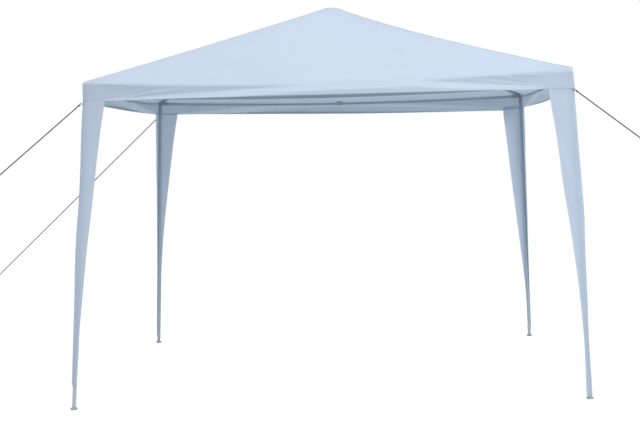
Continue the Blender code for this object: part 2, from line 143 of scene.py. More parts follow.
world = bpy.data.worlds.new("studio")
scene.world = world
tree = new_tree(world)
seen = add_node(tree, "ShaderNodeLightPath").outputs["Is Camera Ray"]
sky = add_node(tree, "ShaderNodeBackground", {"Color": SKY_COLOUR, "Strength": SKY_LIGHT})
backdrop = add_node(tree, "ShaderNodeBackground", {"Color": WHITE, "Strength": 1})
mixed = add_node(tree, "ShaderNodeMixShader", {0: seen, 1: sky.outputs[0], 2: backdrop.outputs[0]})
add_node(tree, "ShaderNodeOutputWorld", {"Surface": mixed.outputs[0]})

bpy.ops.mesh.primitive_plane_add(size=FLOOR_SIZE)
floor = bpy.context.object
floor.name = "studio_floor"
floor_finish = bpy.data.materials.new("pale_floor")
tree = new_tree(floor_finish)
seen = add_node(tree, "ShaderNodeLightPath").outputs["Is Camera Ray"]
ground = add_node(tree, "ShaderNodeBsdfDiffuse", {"Color": GROUND_COLOUR})
paint = add_node(tree, "ShaderNodeBsdfDiffuse", {"Color": FLOOR_PAINT})
glow = add_node(tree, "ShaderNodeEmission", {"Color": WHITE, "Strength": FLOOR_GLOW})
pale = add_node(tree, "ShaderNodeAddShader", {0: paint.outputs[0], 1: glow.outputs[0]})
mixed = add_node(tree, "ShaderNodeMixShader", {0: seen, 1: ground.outputs[0], 2: pale.outputs[0]})
add_node(tree, "ShaderNodeOutputMaterial", {"Surface": mixed.outputs[0]})
floor.data.materials.append(floor_finish)
floor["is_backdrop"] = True


def add_lamp(place, size, watts):
    """A round soft lamp that shines at the tent."""
    bpy.ops.object.light_add(type="AREA", location=place)
    lamp = bpy.context.object
    lamp.data.shape = "DISK"
    lamp.data.size = size
    lamp.data.energy = watts
    lamp.rotation_euler = (LAMP_AIM - lamp.location).to_track_quat("-Z", "Y").to_euler()


for place, size, watts in LAMPS:
    add_lamp(place, size, watts)
print("sky", SKY_LIGHT, "and", len(LAMPS), "lamps")

# %% [markdown]
# ## The tent's lines
# Everything hangs on a few lines: the four legs, the eaves, which sag between the corners, and the
# hips, which rise to the hub. The numbers are the tent's driving dimensions. The feet are read from
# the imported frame, because each leg splays a little differently.

# %% Lines of the frame
CORNERS = ("front_left", "front_right", "back_right", "back_left")
SIDES = ("front", "right", "back", "left")  # side k runs from corner k to corner k + 1
SIGNS = {"front_left": (-1, -1), "front_right": (1, -1), "back_right": (1, 1), "back_left": (-1, 1)}
ROPED = ("front_left", "front_right", "back_left")

EAVE_HALF = -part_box("roof_panel_front")[0].y
PEAK_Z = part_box("roof_panel_front")[1].z
EAVE_Z = 2.005
FRAME_HALF = 1.478
FRAME_Z = 1.990
RAFTER_LIFT = 0.004
HUB_Z = 2.5685
CORNER_RISE = {"front_left": 0, "front_right": 0.008, "back_right": -0.014, "back_left": 0.002}
EAVE_SAG = {"front": 0.050, "right": 0.032, "back": 0.031, "left": 0.036}
HIP_SAG = {"front_left": 0.006, "front_right": 0.0275, "back_right": 0.016, "back_left": 0.010}
HIP_SKEW = {"front_left": 0, "front_right": 0.8, "back_right": 0, "back_left": 0}  # more towards the peak


def connector_centre(corner):
    sx, sy = SIGNS[corner]
    return Vector((sx * FRAME_HALF, sy * FRAME_HALF, FRAME_Z + CORNER_RISE[corner]))


def foot_centre(corner):
    low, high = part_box("foot_" + corner)
    return Vector(((low.x + high.x) / 2, (low.y + high.y) / 2, 0))


FEET = {corner: foot_centre(corner) for corner in CORNERS}


def leg_point(corner, z):
    top = connector_centre(corner)
    return FEET[corner].lerp(top, z / top.z)


def eave_point(side, t):
    k = SIDES.index(side)
    start = connector_centre(CORNERS[k])
    end = connector_centre(CORNERS[(k + 1) % 4])
    return start.lerp(end, t) - Vector((0, 0, 4 * EAVE_SAG[side] * t * (1 - t)))


def hip_drop(corner, t):
    """How far a hip and its rafter hang below a straight line. t is 0 at the eave and 1 at the hub."""
    return 4 * HIP_SAG[corner] * t * (1 - t) * (1 + HIP_SKEW[corner] * (t - 0.5))


def rafter_point(corner, t):
    start = connector_centre(corner) + Vector((0, 0, RAFTER_LIFT))
    return start.lerp(Vector((0, 0, HUB_Z)), t) - Vector((0, 0, hip_drop(corner, t)))


def heading_of(path, name, t, towards):
    """A bent tube's direction at t, forwards where towards is 1 and backwards where it is -1."""
    return (path(name, t + towards * 1e-3) - path(name, t)).normalized()


for corner in CORNERS:
    print(corner, "foot at", [round(x, 3) for x in FEET[corner]])

# %% [markdown]
# ## Small helpers
# Each piece ends the same way: it is shaded smooth up to an angle, its place goes into its mesh,
# it is hung under the root empty, and the imported nodes it replaces are hidden. The frame loads
# with all its nodes selected, so a helper first deselects everything.

# %% Helpers for every piece
SMOOTH_UP_TO = math.radians(35)


def choose(piece):
    """Makes a piece the only selected object, and the active one."""
    bpy.ops.object.select_all(action="DESELECT")
    piece.select_set(True)
    bpy.context.view_layer.objects.active = piece


def settle(piece, finish, nodes=()):
    """Puts a piece's place into its mesh, shades it, gives it its finish and ties it to the frame."""
    choose(piece)
    bpy.ops.object.transform_apply(location=True, rotation=True, scale=True)
    bpy.ops.object.shade_smooth_by_angle(angle=SMOOTH_UP_TO)
    piece.data.materials.clear()
    piece.data.materials.append(finish)
    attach(piece, "root")
    if nodes:
        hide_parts(*nodes)
    return piece


def apply_modifier(piece, kind, **settings):
    """Adds a modifier, sets it and applies it."""
    choose(piece)
    modifier = piece.modifiers.new(kind.lower(), kind)
    for name, value in settings.items():
        setattr(modifier, name, value)
    bpy.ops.object.modifier_apply(modifier=modifier.name)


# %% [markdown]
# ## The cloth's finish
# The canopy is coated woven cloth. Close up it shows a fine grid of threads, and over a metre soft
# crumples from being folded in its bag. Light comes through it, which a Translucent shader gives.
# The map "cloth" holds metres along and across the weave. The map "edge" holds the distance from
# the nearest hemmed edge and the length along it, so that the stitches follow the hem. An attribute
# marks the strip of the hem that turns under. The cloth is painted dark grey there as painted shade,
# because that strip faces down.

# %% Canopy cloth
CLOTH_COLOUR = (0.69, 0.783, 0.897, 1)
CLOTH_FOLD_COLOUR = (0.67, 0.768, 0.877, 1)
# the thread's colour, also used for the painted highlight along the hemmed edges
THREAD_AND_PAINTED_EDGE_COLOUR = (0.80, 0.85, 0.93, 1)
# painted shade: the dark grey that the tucked hem strip is painted, because it faces down
HEM_PAINTED_SHADE_COLOUR = (0.40, 0.475, 0.555, 1)
THREAD_PITCH = 0.0028  # between two threads of the weave
STITCH = 0.006
HEM = 0.020
LIGHT_THROUGH = 0.585
PASSED_SATURATION = 0.76  # light that comes through is greyer than the cloth
PASSED_VALUE = 0.957
CRUMPLE_SCALE = 3.2
CRUMPLE_SHADE = 0.9
STITCH_ROW = HEM - 0.003  # from the hem's edge to the row of stitches
STITCH_HALF = 0.0009
STITCH_SHARE = 0.62  # of the pitch; the rest is the gap between two stitches
STITCH_PALE = 0.8
# painted highlight: within this distance of a hemmed edge the cloth is painted paler
PAINTED_EDGE_WIDTH = 0.008
PAINTED_EDGE_PALE = 0.35
CRUMPLE_RELIEF = (0.35, 0.006)  # how strong, and how deep in metres
THREAD_RELIEF = (0.25, 0.0003)
STITCH_RELIEF = (0.6, 0.0005)
CLOTH_ROUGHNESS = (0.50, 0.66)
CLOTH_SHEEN = 0.08


def wave(tree, vector, pitch, direction):
    """Smooth ridges that repeat every pitch metres. The node's own waves are pi / 10 long at scale 1."""
    inputs = {"Vector": vector, "Scale": math.pi / (10 * pitch)}
    return add_node(tree, "ShaderNodeTexWave", inputs, bands_direction=direction).outputs["Fac"]


def math_node(tree, operation, first, second=0.0, third=0.0):
    inputs = {0: first, 1: second, 2: third}
    return add_node(tree, "ShaderNodeMath", inputs, operation=operation).outputs[0]


def mix_colours(tree, share, first, second):
    """Mixes two colours. A Mix node's colour inputs are its sockets 6 and 7."""
    inputs = {0: share, 6: first, 7: second}
    return add_node(tree, "ShaderNodeMix", inputs, data_type="RGBA").outputs[2]


def relief_node(tree, height, relief, below=None):
    """Bump from a height, on top of other bump where below gives it.

    relief is how strong the bump is, and how deep in metres.
    """
    inputs = {"Strength": relief[0], "Distance": relief[1], "Height": height}
    if below:
        inputs["Normal"] = below
    return add_node(tree, "ShaderNodeBump", inputs).outputs[0]


def make_cloth(name):
    finish = bpy.data.materials.new(name)
    tree = new_tree(finish)
    cloth = add_node(tree, "ShaderNodeUVMap", uv_map="cloth").outputs[0]
    edge = add_node(tree, "ShaderNodeUVMap", uv_map="edge").outputs[0]
    parts = add_node(tree, "ShaderNodeSeparateXYZ", {0: edge}).outputs
    from_edge, along_edge = parts[0], parts[1]
    place = add_node(tree, "ShaderNodeTexCoord").outputs["Object"]

    noise_inputs = {"Vector": place, "Scale": CRUMPLE_SCALE, "Detail": 4.0, "Roughness": 0.55}
    crumple = add_node(tree, "ShaderNodeTexNoise", noise_inputs).outputs["Fac"]
    shade = math_node(tree, "MULTIPLY", crumple, CRUMPLE_SHADE)
    colour = mix_colours(tree, shade, CLOTH_COLOUR, CLOTH_FOLD_COLOUR)

    row = math_node(tree, "COMPARE", from_edge, STITCH_ROW, STITCH_HALF)
    pitch_share = math_node(tree, "FRACT", math_node(tree, "DIVIDE", along_edge, STITCH))
    dash = math_node(tree, "LESS_THAN", pitch_share, STITCH_SHARE)
    stitched = math_node(tree, "MULTIPLY", row, dash)
    # painted highlight: the cloth is painted paler near each hemmed edge; the stitches show the thread's
    # colour
    fading = {"Value": from_edge, "From Max": PAINTED_EDGE_WIDTH, "To Min": PAINTED_EDGE_PALE, "To Max": 0}
    painted_edge_light = add_node(tree, "ShaderNodeMapRange", fading).outputs[0]
    stitches_and_painted_edge_light = math_node(tree, "MAXIMUM", painted_edge_light, math_node(tree, "MULTIPLY", stitched, STITCH_PALE))
    colour = mix_colours(tree, stitches_and_painted_edge_light, colour, THREAD_AND_PAINTED_EDGE_COLOUR)
    # painted shade: the strip of the hem that tucks under is darkened to grey, because it faces down
    painted_shade = add_node(tree, "ShaderNodeAttribute", attribute_name="tape_and_painted_hem_shade").outputs["Fac"]
    colour = mix_colours(tree, painted_shade, colour, HEM_PAINTED_SHADE_COLOUR)

    warp = wave(tree, cloth, THREAD_PITCH, "X")
    weft = wave(tree, cloth, THREAD_PITCH, "Y")
    weave = math_node(tree, "MULTIPLY", warp, weft)
    soft = relief_node(tree, crumple, CRUMPLE_RELIEF)
    threads = relief_node(tree, weave, THREAD_RELIEF, soft)
    sewn = relief_node(tree, stitched, STITCH_RELIEF, threads)

    dullness = {"Value": crumple, "To Min": CLOTH_ROUGHNESS[0], "To Max": CLOTH_ROUGHNESS[1]}
    dull = add_node(tree, "ShaderNodeMapRange", dullness).outputs[0]
    coated = {"Base Color": colour, "Roughness": dull, "Normal": sewn, "Sheen Weight": CLOTH_SHEEN}
    front = add_node(tree, "ShaderNodeBsdfPrincipled", coated).outputs[0]
    greyer = {"Color": colour, "Saturation": PASSED_SATURATION, "Value": PASSED_VALUE}
    passed = add_node(tree, "ShaderNodeHueSaturation", greyer).outputs[0]
    through = add_node(tree, "ShaderNodeBsdfTranslucent", {"Color": passed, "Normal": soft}).outputs[0]
    shader = add_node(tree, "ShaderNodeMixShader", {0: LIGHT_THROUGH, 1: front, 2: through}).outputs[0]
    add_node(tree, "ShaderNodeOutputMaterial", {"Surface": shader})
    return finish


canopy_cloth = make_cloth("canopy_cloth")
print("cloth with threads every", THREAD_PITCH * 1000, "mm")

# %% [markdown]
# ## How the canopy lies
# Between the hips each roof panel bellies down a little, and its lower edge follows the sagging
# eave. The valance is a strip of one depth. Where the eave sags, the strip has cloth to spare, and
# that cloth has to go somewhere. Below the fold it first hangs straight, then a crease kicks it
# outwards, then it drops, and in the middle of the side its hem tucks back under. The crease starts
# at the fold in the middle of the side and runs down to the hem at the leg cover. So each column of
# the valance is a few straight stretches, whose lengths follow from the depth of the strip. At the
# corners the cloth first bends over the corner fitting, which rounds the shoulder of the tent.

# %% Shape of the cloth
PLATEAU_HALF = 0.028
PANEL_BELLY = 0.020
HEM_Z = {"front_left": 1.890, "front_right": 1.890, "back_right": 1.883, "back_left": 1.903}
HEM_SAG = {"front": 0.022, "right": 0.008, "back": 0.016, "left": 0.006}
HEM_SKEW = {"front": 0, "right": 1, "back": 0, "left": 0}  # above 0 the hem hangs lower at its right end
HEM_BEND = {"front": 2, "right": 3, "back": 2.5, "left": 1.5}  # above 1 the sag gathers in the middle
BACK_HEM_DIP = 0.022  # how much lower the back hem hangs, most near the right leg cover
BACK_DIP_GROWS = 0.12
BACK_DIP_ENDS = 0.35
VALANCE = {"front": 0.1185, "right": 0.106, "back": 0.1185, "left": 0.106}  # the strip's depth in use
FLARE = math.radians(49)  # the kicked-out stretch, from straight down
DROP = math.radians(10)
TUCK = math.radians(-38)
TUCK_LENGTH = 0.028
SPARE_CLOTH = 0.0315  # what the front valance has to spare in its middle, for the full tuck
TUCK_REACH = 0.85  # the hem tucks under over this share of a side
SHOULDER_TILT = math.radians(36)
SHOULDERS = {"front_left": 0.012, "front_right": 0.033, "back_right": 0.012, "back_left": 0.012}
SHOULDER_SHARE = {"front": 1, "right": 0, "back": 1, "left": 1}  # the right side drops straight down
SHOULDER_RISE = 0.05  # this share of the way up the roof, it is set in as the others are
SHOULDER_LIFT = {"front_left": 0.001, "front_right": 0.0055, "back_right": 0, "back_left": 0}
SHOULDER_REACH = 0.30  # how far from a corner the cloth still bends over a shoulder
CORNER_LEAN = {"front_left": 0, "front_right": 0.010, "back_right": 0, "back_left": 0}
LEAN_SHARE = {"front": 0.2, "right": 1, "back": 0.2, "left": 1}  # of the lean that a side moves out
LEAN_SUM = 1.2  # both sides' shares at a corner
LEAN_REACH = 0.25
COVERED = 0.915  # beyond this share of a side the valance is sewn to a leg cover
SEWN_FADE = 0.05
TUCK_BEND = 1.2
PAINTED_SHADE_FADE = 0.009  # over this much cloth the painted shade of the tucked hem fades in
PAINTED_SHADE_EARLY = 0.6  # of that, above the tuck
SHORT_TUCK = 0.006  # a tuck shorter than this gets less painted shade
CREASES = {  # left and right of the middle: where a crease starts, how deep it ends, how it bends
    -1: (0, 0.0955, 1.27),
    1: (0.36, 0.0892, 0.85),
}
SLOPE = math.hypot(EAVE_HALF - PLATEAU_HALF, PEAK_Z - EAVE_Z)
TINY = 1e-6  # keeps a divisor above 0


def ease(x):
    """0 below 0, 1 above 1, and smooth between."""
    x = min(max(x, 0), 1)
    return x * x * (3 - 2 * x)


def mix_ends(side, u, values):
    """Mixes the values of a side's two corners; u runs from -1 to 1 along the side."""
    k = SIDES.index(side)
    left, right = values[CORNERS[k]], values[CORNERS[(k + 1) % 4]]
    return left + (right - left) * (u + 1) / 2


def near_corner(side, u, values, reach):
    """The value of the nearer corner, which fades away from it."""
    k = SIDES.index(side)
    value = values[CORNERS[k if u < 0 else (k + 1) % 4]]
    return value * math.exp(-(((1 - abs(u)) * EAVE_HALF / reach) ** 2))


def shoulder(side, u):
    """The cloth that bends over the corner fitting before the valance starts."""
    return near_corner(side, u, SHOULDERS, SHOULDER_REACH)


def shoulder_steps_in(side, u, v=0):
    """How far the shoulder sets in this side's cloth, and that of the side beyond the nearer corner."""
    k = SIDES.index(side)
    beyond = SIDES[k - 1 if u < 0 else (k + 1) % 4]
    step = shoulder(side, u) * math.sin(SHOULDER_TILT) * (1 - v)
    up = ease(v / SHOULDER_RISE)
    return [step * (SHOULDER_SHARE[name] * (1 - up) + up) for name in (side, beyond)]


def eave_z(side, u):
    """The height of a straight eave between its two corners, lifted by the corner fittings."""
    lift = near_corner(side, u, SHOULDER_LIFT, SHOULDER_REACH)
    return EAVE_Z + mix_ends(side, u, CORNER_RISE) + lift


def fold_z(side, u):
    """The height of the fold between roof and valance."""
    return eave_z(side, u) - EAVE_SAG[side] * (1 - u * u)


def hem_z(side, u):
    """The height of the hem."""
    sag = HEM_SAG[side] * (1 - u * u) ** HEM_BEND[side] * (1 + HEM_SKEW[side] * u)
    if side == "back":
        ends = ease((BACK_DIP_ENDS - u) / (1 + BACK_DIP_ENDS))
        sag += BACK_HEM_DIP * ease((u + 1) / BACK_DIP_GROWS) * ends
    return mix_ends(side, u, HEM_Z) - sag


def roof_z(side, u, v):
    """The roof's outer face; v runs from 0 at the fold to 1 at the flat spot over the hub."""
    low = eave_z(side, u)
    hip = mix_ends(side, u, {corner: hip_drop(corner, v) for corner in CORNERS})
    sag = EAVE_SAG[side] * (1 - u * u) * (1 - v) ** 2
    belly = PANEL_BELLY * (1 - u * u) * 4 * v * (1 - v)
    return low + (PEAK_Z - low) * v - hip - sag - belly


def valance_stretches(side, u):
    """A valance column's straight stretches, from the fold down, as (length, angle from straight down)."""
    bend_over = shoulder(side, u)
    height = fold_z(side, u) - hem_z(side, u) - bend_over * math.cos(SHOULDER_TILT)
    loose = ease((COVERED - abs(u)) / SEWN_FADE)
    spare = max(VALANCE[side] - bend_over - height, 0)
    length = height + spare * loose
    start, depth, bend = CREASES[1 if u > 0 else -1]
    crease = depth * min(max((abs(u) - start) / (COVERED - start), 0), 1) ** bend
    upright = crease * loose + height * (1 - loose)
    tuck = TUCK_LENGTH * spare / SPARE_CLOTH * max(1 - (u / TUCK_REACH) ** 2, 0) ** TUCK_BEND
    rest = length - upright - tuck
    rest_height = height - upright - tuck * math.cos(TUCK)
    flared = (math.cos(DROP) * rest - rest_height) / (math.cos(DROP) - math.cos(FLARE))
    if 0 <= flared <= rest:
        dropped = rest - flared
        return ((bend_over, SHOULDER_TILT), (upright, 0), (flared, FLARE), (dropped, DROP), (tuck, TUCK))
    steep = math.acos(min(max(rest_height / rest, -1), 1)) if rest > TINY else 0
    return ((bend_over, SHOULDER_TILT), (upright, 0), (rest, steep), (0, DROP), (tuck, TUCK))


def valance_length(side, u):
    return sum(length for length, _ in valance_stretches(side, u))


def in_tuck(side, u, down):
    """How much painted shade the hem gets: 1 on the stretch that turns under, 0 above it."""
    tuck = valance_stretches(side, u)[-1][0]
    start = valance_length(side, u) - tuck
    return ease((down - start) / PAINTED_SHADE_FADE + PAINTED_SHADE_EARLY) * ease(tuck / SHORT_TUCK)


def valance_place(side, u, down):
    """How far out and how high the valance is, a distance down its cloth from the fold."""
    out, z = -shoulder_steps_in(side, u)[0], fold_z(side, u)
    for k, (length, angle) in enumerate(valance_stretches(side, u)):
        step = min(max(down, 0), length)
        out += step * math.sin(angle) * (1 if k else SHOULDER_SHARE[side])
        z -= step * math.cos(angle)
        down -= step
    return out, z


bow = valance_place("front", 0, VALANCE["front"] - TUCK_LENGTH)[0]
print("the front valance bows out by", round(bow * 1000), "mm")

# %% [markdown]
# Taut cloth still isn't flat. The roof has slow swells, a millimetre or two deep. Beside each leg
# cover the valance puckers: thin folds fan out from the point where the hem meets the cover. The
# swells move the cloth up and down, the puckers in and out. Real folds are round as well, so each
# point is the mean of a few points of the sharp shape around it, which rounds the eave, the creases
# and the hips by a few millimetres.

# %% Swells, puckers and soft folds
SWELL = 0.0022
SWELL_SCALE = 1.7
SWELL_LAYER = 3.1  # the height at which the noise is cut
PUCKER = 0.0045
PUCKER_FAN = 52  # folds in a full turn
PUCKER_REACH = 0.42
PUCKER_TWIST = 4  # radians, over that reach
PUCKER_START = 0.02  # the folds start at this distance from the point
PUCKER_GROWS = 0.10
HELD_BY_EAVE = 0.02  # the eave and the hem hold the cloth still over these distances
HELD_BY_HEM = 0.012
COVER_WIDTH = 0.14
SOFT_FOLD = 0.005
FOLD_ROUND = 0.007  # how much wider the rounding is at the eave
FOLD_NEAR = 0.022  # and how far above and below it
CORNER_NEAR = 0.35  # this close to a corner it is less wide
SOFT_HIP = 0.007
MOST_TURN = 0.35  # of half a side, where the sides are short, near the peak
FLAT_BELOW_PEAK = 0.04  # between these two the roof has no folds to round
FLAT_ABOVE_EAVE = 0.02
FIVE_SHARES = (-1, -0.5, 0, 0.5, 1)


def swell(x, y, share):
    return SWELL * share * noise.noise(Vector((SWELL_SCALE * x, SWELL_SCALE * y, SWELL_LAYER)))


def pucker(u, down, length):
    """How far a fold near a leg cover stands out."""
    beside = (1 - abs(u)) * EAVE_HALF - COVER_WIDTH
    if beside <= 0:
        return 0
    above = length - down
    reach = math.hypot(beside, above)
    angle = math.atan2(above, beside)
    grown = ease((reach - PUCKER_START) / PUCKER_GROWS) * math.exp(-((reach / PUCKER_REACH) ** 2))
    held = ease(down / HELD_BY_EAVE) * ease(above / HELD_BY_HEM)
    return PUCKER * grown * held * math.sin(PUCKER_FAN * angle + PUCKER_TWIST * reach / PUCKER_REACH)


def sharp_place(around, down):
    """A point of the cloth with sharp folds.

    around counts round the tent, two for each side, and down is metres below the fold.
    """
    around %= 8
    side = SIDES[int(around // 2) % 4]
    u = around % 2 - 1
    middle = 1 - u * u
    if down <= -SLOPE:
        half = max(PLATEAU_HALF + SLOPE + down, 0)
        place = Vector((u * half, -half, PEAK_Z))
    elif down <= 0:
        v = -down / SLOPE
        half = EAVE_HALF + (PLATEAU_HALF - EAVE_HALF) * v
        step_in, step_beyond = shoulder_steps_in(side, u, v)
        place = Vector((u * (half - step_beyond), step_in - half, roof_z(side, u, v)))
        place.z += swell(around + place.x, place.y, middle * 4 * v * (1 - v))
    else:
        out, z = valance_place(side, u, down)
        length = valance_length(side, u)
        lean = near_corner(side, u, CORNER_LEAN, LEAN_REACH) * down / length
        bent = max(1 - down / max(shoulder(side, u), TINY), 0)  # 1 at the fold, 0 below the shoulder
        step_beyond = shoulder_steps_in(side, u)[1] * bent
        sideways = EAVE_HALF - step_beyond + (LEAN_SUM - LEAN_SHARE[side]) * lean
        out += LEAN_SHARE[side] * lean + pucker(u, down, length)
        place = Vector((u * sideways, -EAVE_HALF - out, z))
    return Matrix.Rotation(SIDES.index(side) * math.pi / 2, 3, "Z") @ place


def half_width(down):
    """Half the tent's width at a place down the cloth."""
    return EAVE_HALF if down > 0 else EAVE_HALF + (PLATEAU_HALF - EAVE_HALF) * min(-down / SLOPE, 1)


def soft_place(around, down, end):
    """The mean of sharp points around a place, so that folds and hips are round. The hem is at end."""
    half = half_width(down)
    to_corner = min(around % 2, 2 - around % 2)  # as a share of half a side
    rounding = FOLD_ROUND * ease(1 - abs(down) / FOLD_NEAR) * ease(to_corner * EAVE_HALF / CORNER_NEAR)
    spread = min(SOFT_FOLD + rounding, end - down)
    turn_size = min(SOFT_HIP / max(half, TINY), MOST_TURN)
    folded = down > -FLAT_ABOVE_EAVE or down < FLAT_BELOW_PEAK - SLOPE
    downs = [share * spread for share in FIVE_SHARES] if folded else [0]
    turns = [share * turn_size for share in FIVE_SHARES] if to_corner * half < 2 * SOFT_HIP else [0]
    places = [sharp_place(around + t, down + d) for t in turns for d in downs]
    return sum(places, Vector()) / len(places)


# %% [markdown]
# The sheet itself starts as a flat grid: its columns go once round the tent, and its rows run from
# the peak down to the hem. Each vertex is then moved to where the cloth lies. The first and last
# columns meet, and the top row closes at the peak, so merging doubles makes one continuous sheet.
# Columns stand close together at the hips, where the cloth bends sharply, and rows do so at the
# fold and on the valance.

# %% The canopy
CLOTH_THICK = 0.0012
VALANCE_STEPS = 38


def spaced(start, end, step):
    """Values from start up to but not including end, evenly spaced by about step."""
    count = max(round((end - start) / step), 1)
    return [start + (end - start) * i / count for i in range(count)]


# columns, as metres from the hip along the eave, up to the middle of a side
half_side = [0, 0.003, 0.006, 0.010, 0.016]
half_side += spaced(0.024, 0.72, 0.024) + spaced(0.72, EAVE_HALF, 0.045)
one_side = [d / EAVE_HALF for d in half_side] + [1] + [2 - d / EAVE_HALF for d in reversed(half_side[1:])]
around_all = [2 * k + a for k in range(4) for a in one_side] + [8]
# rows, as metres below the fold: close together round the peak and at the fold, wide between
peak_rows = [-SLOPE - PLATEAU_HALF, -SLOPE - 0.016] + spaced(-SLOPE - 0.006, -SLOPE + 0.03, 0.006)
roof_rows = spaced(-SLOPE + 0.03, -0.04, 0.058) + spaced(-0.04, -0.008, 0.010) + spaced(-0.008, 0, 0.002)
valance_rows = [i / VALANCE_STEPS for i in range(VALANCE_STEPS + 1)]  # as shares of the strip's depth


def grow_sheet(name, rows, columns, place, maps, painted_shade):
    """A grid whose vertices go where place(column, row) says.

    maps gives its two UV maps, and the last argument the painted shade at each vertex.
    """
    bpy.ops.object.select_all(action="DESELECT")
    bpy.ops.mesh.primitive_grid_add(x_subdivisions=columns - 1, y_subdivisions=rows - 1, size=2)
    piece = bpy.context.object
    piece.name = name
    mesh = piece.data
    indices = []
    for vertex in mesh.vertices:
        column = (vertex.co.x + 1) / 2 * (columns - 1)
        row = (1 - vertex.co.y) / 2 * (rows - 1)
        indices.append((round(column), round(row)))
    for vertex, (i, j) in zip(mesh.vertices, indices):
        vertex.co = place(i, j)
    # the painted shade of the tucked hem, one value for each vertex
    tape_and_painted_hem_shade = mesh.attributes.new("tape_and_painted_hem_shade", "FLOAT", "POINT")
    for value, (i, j) in zip(tape_and_painted_hem_shade.data, indices):
        value.value = painted_shade(i, j)
    mesh.uv_layers[0].name = "cloth"
    cloth = mesh.uv_layers["cloth"]
    edge = mesh.uv_layers.new(name="edge")
    for polygon in mesh.polygons:
        first = min(indices[mesh.loops[loop].vertex_index][0] for loop in polygon.loop_indices)
        for loop in polygon.loop_indices:
            i, j = indices[mesh.loops[loop].vertex_index]
            cloth.data[loop].uv, edge.data[loop].uv = maps(i, j, first)
    return piece


def never_painted_shade(i, j):
    return 0


def close_sheet(piece, thickness):
    """Merges what meets, turns the faces outwards and adds a thickness inwards, whose inner face gets no
    painted shade.
    """
    choose(piece)
    bpy.ops.object.mode_set(mode="EDIT")
    bpy.ops.mesh.select_all(action="SELECT")
    bpy.ops.mesh.remove_doubles(threshold=1e-5)
    bpy.ops.mesh.normals_make_consistent(inside=False)
    bpy.ops.object.mode_set(mode="OBJECT")
    outer = len(piece.data.vertices)
    apply_modifier(piece, "SOLIDIFY", thickness=thickness, offset=-1)
    # the inner face gets no painted shade
    for value in piece.data.attributes["tape_and_painted_hem_shade"].data[outer:]:
        value.value = 0


def canopy_down(i, j):
    """Metres below the fold, and the cloth's end there."""
    around = around_all[i]
    side = SIDES[int(around // 2) % 4]
    end = valance_length(side, around % 2 - 1)
    above = len(peak_rows) + len(roof_rows)
    rows_above = peak_rows + roof_rows
    return (rows_above[j] if j < above else valance_rows[j - above] * end), end


def canopy_place(i, j):
    down, end = canopy_down(i, j)
    return soft_place(around_all[i], down, end)


def canopy_maps(i, j, first):
    down, end = canopy_down(i, j)
    side = int(around_all[first] // 2)
    u = around_all[i] - 2 * side - 1
    return (u * half_width(down) + 4 * side, down), (end - down, u * EAVE_HALF)


# painted shade of the tucked hem, from 0 to 1
def canopy_painted_shade(i, j):
    down, _ = canopy_down(i, j)
    around = around_all[i]
    return in_tuck(SIDES[int(around // 2) % 4], around % 2 - 1, down)


row_count = len(peak_rows) + len(roof_rows) + len(valance_rows)
canopy = grow_sheet("canopy", row_count, len(around_all), canopy_place, canopy_maps, canopy_painted_shade)
close_sheet(canopy, CLOTH_THICK)
canopy_nodes = [part + side for side in SIDES for part in ("roof_panel_", "valance_")]
settle(canopy, canopy_cloth, canopy_nodes)
print("canopy:", len(canopy.data.polygons), "faces")

# %% [markdown]
# ## Hip tapes
# The four roof panels are sewn together along the hips, and a narrow tape covers each seam. A tape
# is a strip of the same cloth, so it is grown the same way, a millimetre above the canopy, from the
# peak to the eave.

# %% Tapes over the hip seams
TAPE_HALF = 0.009
TAPE_LIFT = 0.0012
TAPE_THICK = 0.7 * TAPE_LIFT
NEAR_BY = 0.002  # how far apart the points are that give the canopy's normal
tape_across = [i / 4 for i in range(-4, 5)]
tape_down = spaced(-SLOPE + 0.004, -0.004, 0.03) + [-0.004]


def make_tape(k):
    def place(i, j):
        down = tape_down[j]
        half = half_width(down)
        around = 2 * k + tape_across[i] * TAPE_HALF / half
        here = soft_place(around, down, 1)
        beside = soft_place(around + NEAR_BY / half, down, 1)
        below = soft_place(around, down + NEAR_BY, 1)
        normal = (beside - here).cross(below - here).normalized()
        if normal.z < 0:
            normal.negate()
        return here + TAPE_LIFT * normal

    def maps(i, j, first):
        across = tape_across[i] * TAPE_HALF
        return (across, tape_down[j]), (HEM - TAPE_HALF + abs(across), tape_down[j])

    name = "hip_tape_" + CORNERS[k]
    tape_and_painted_hem_shade = grow_sheet(name, len(tape_down), len(tape_across), place, maps, never_painted_shade)
    close_sheet(tape_and_painted_hem_shade, TAPE_THICK)
    return settle(tape_and_painted_hem_shade, canopy_cloth)


hip_tapes = [make_tape(k) for k in range(4)]

# %% [markdown]
# ## Leg covers
# A cover is one piece of cloth folded round the leg's outer corner. Its two arms are wide at the
# top, where they are sewn behind the valance, and taper down to a narrow sleeve. Each cover has its
# own outline, read from the photograph. The arms hang free at their edges, so they ripple slightly
# there.

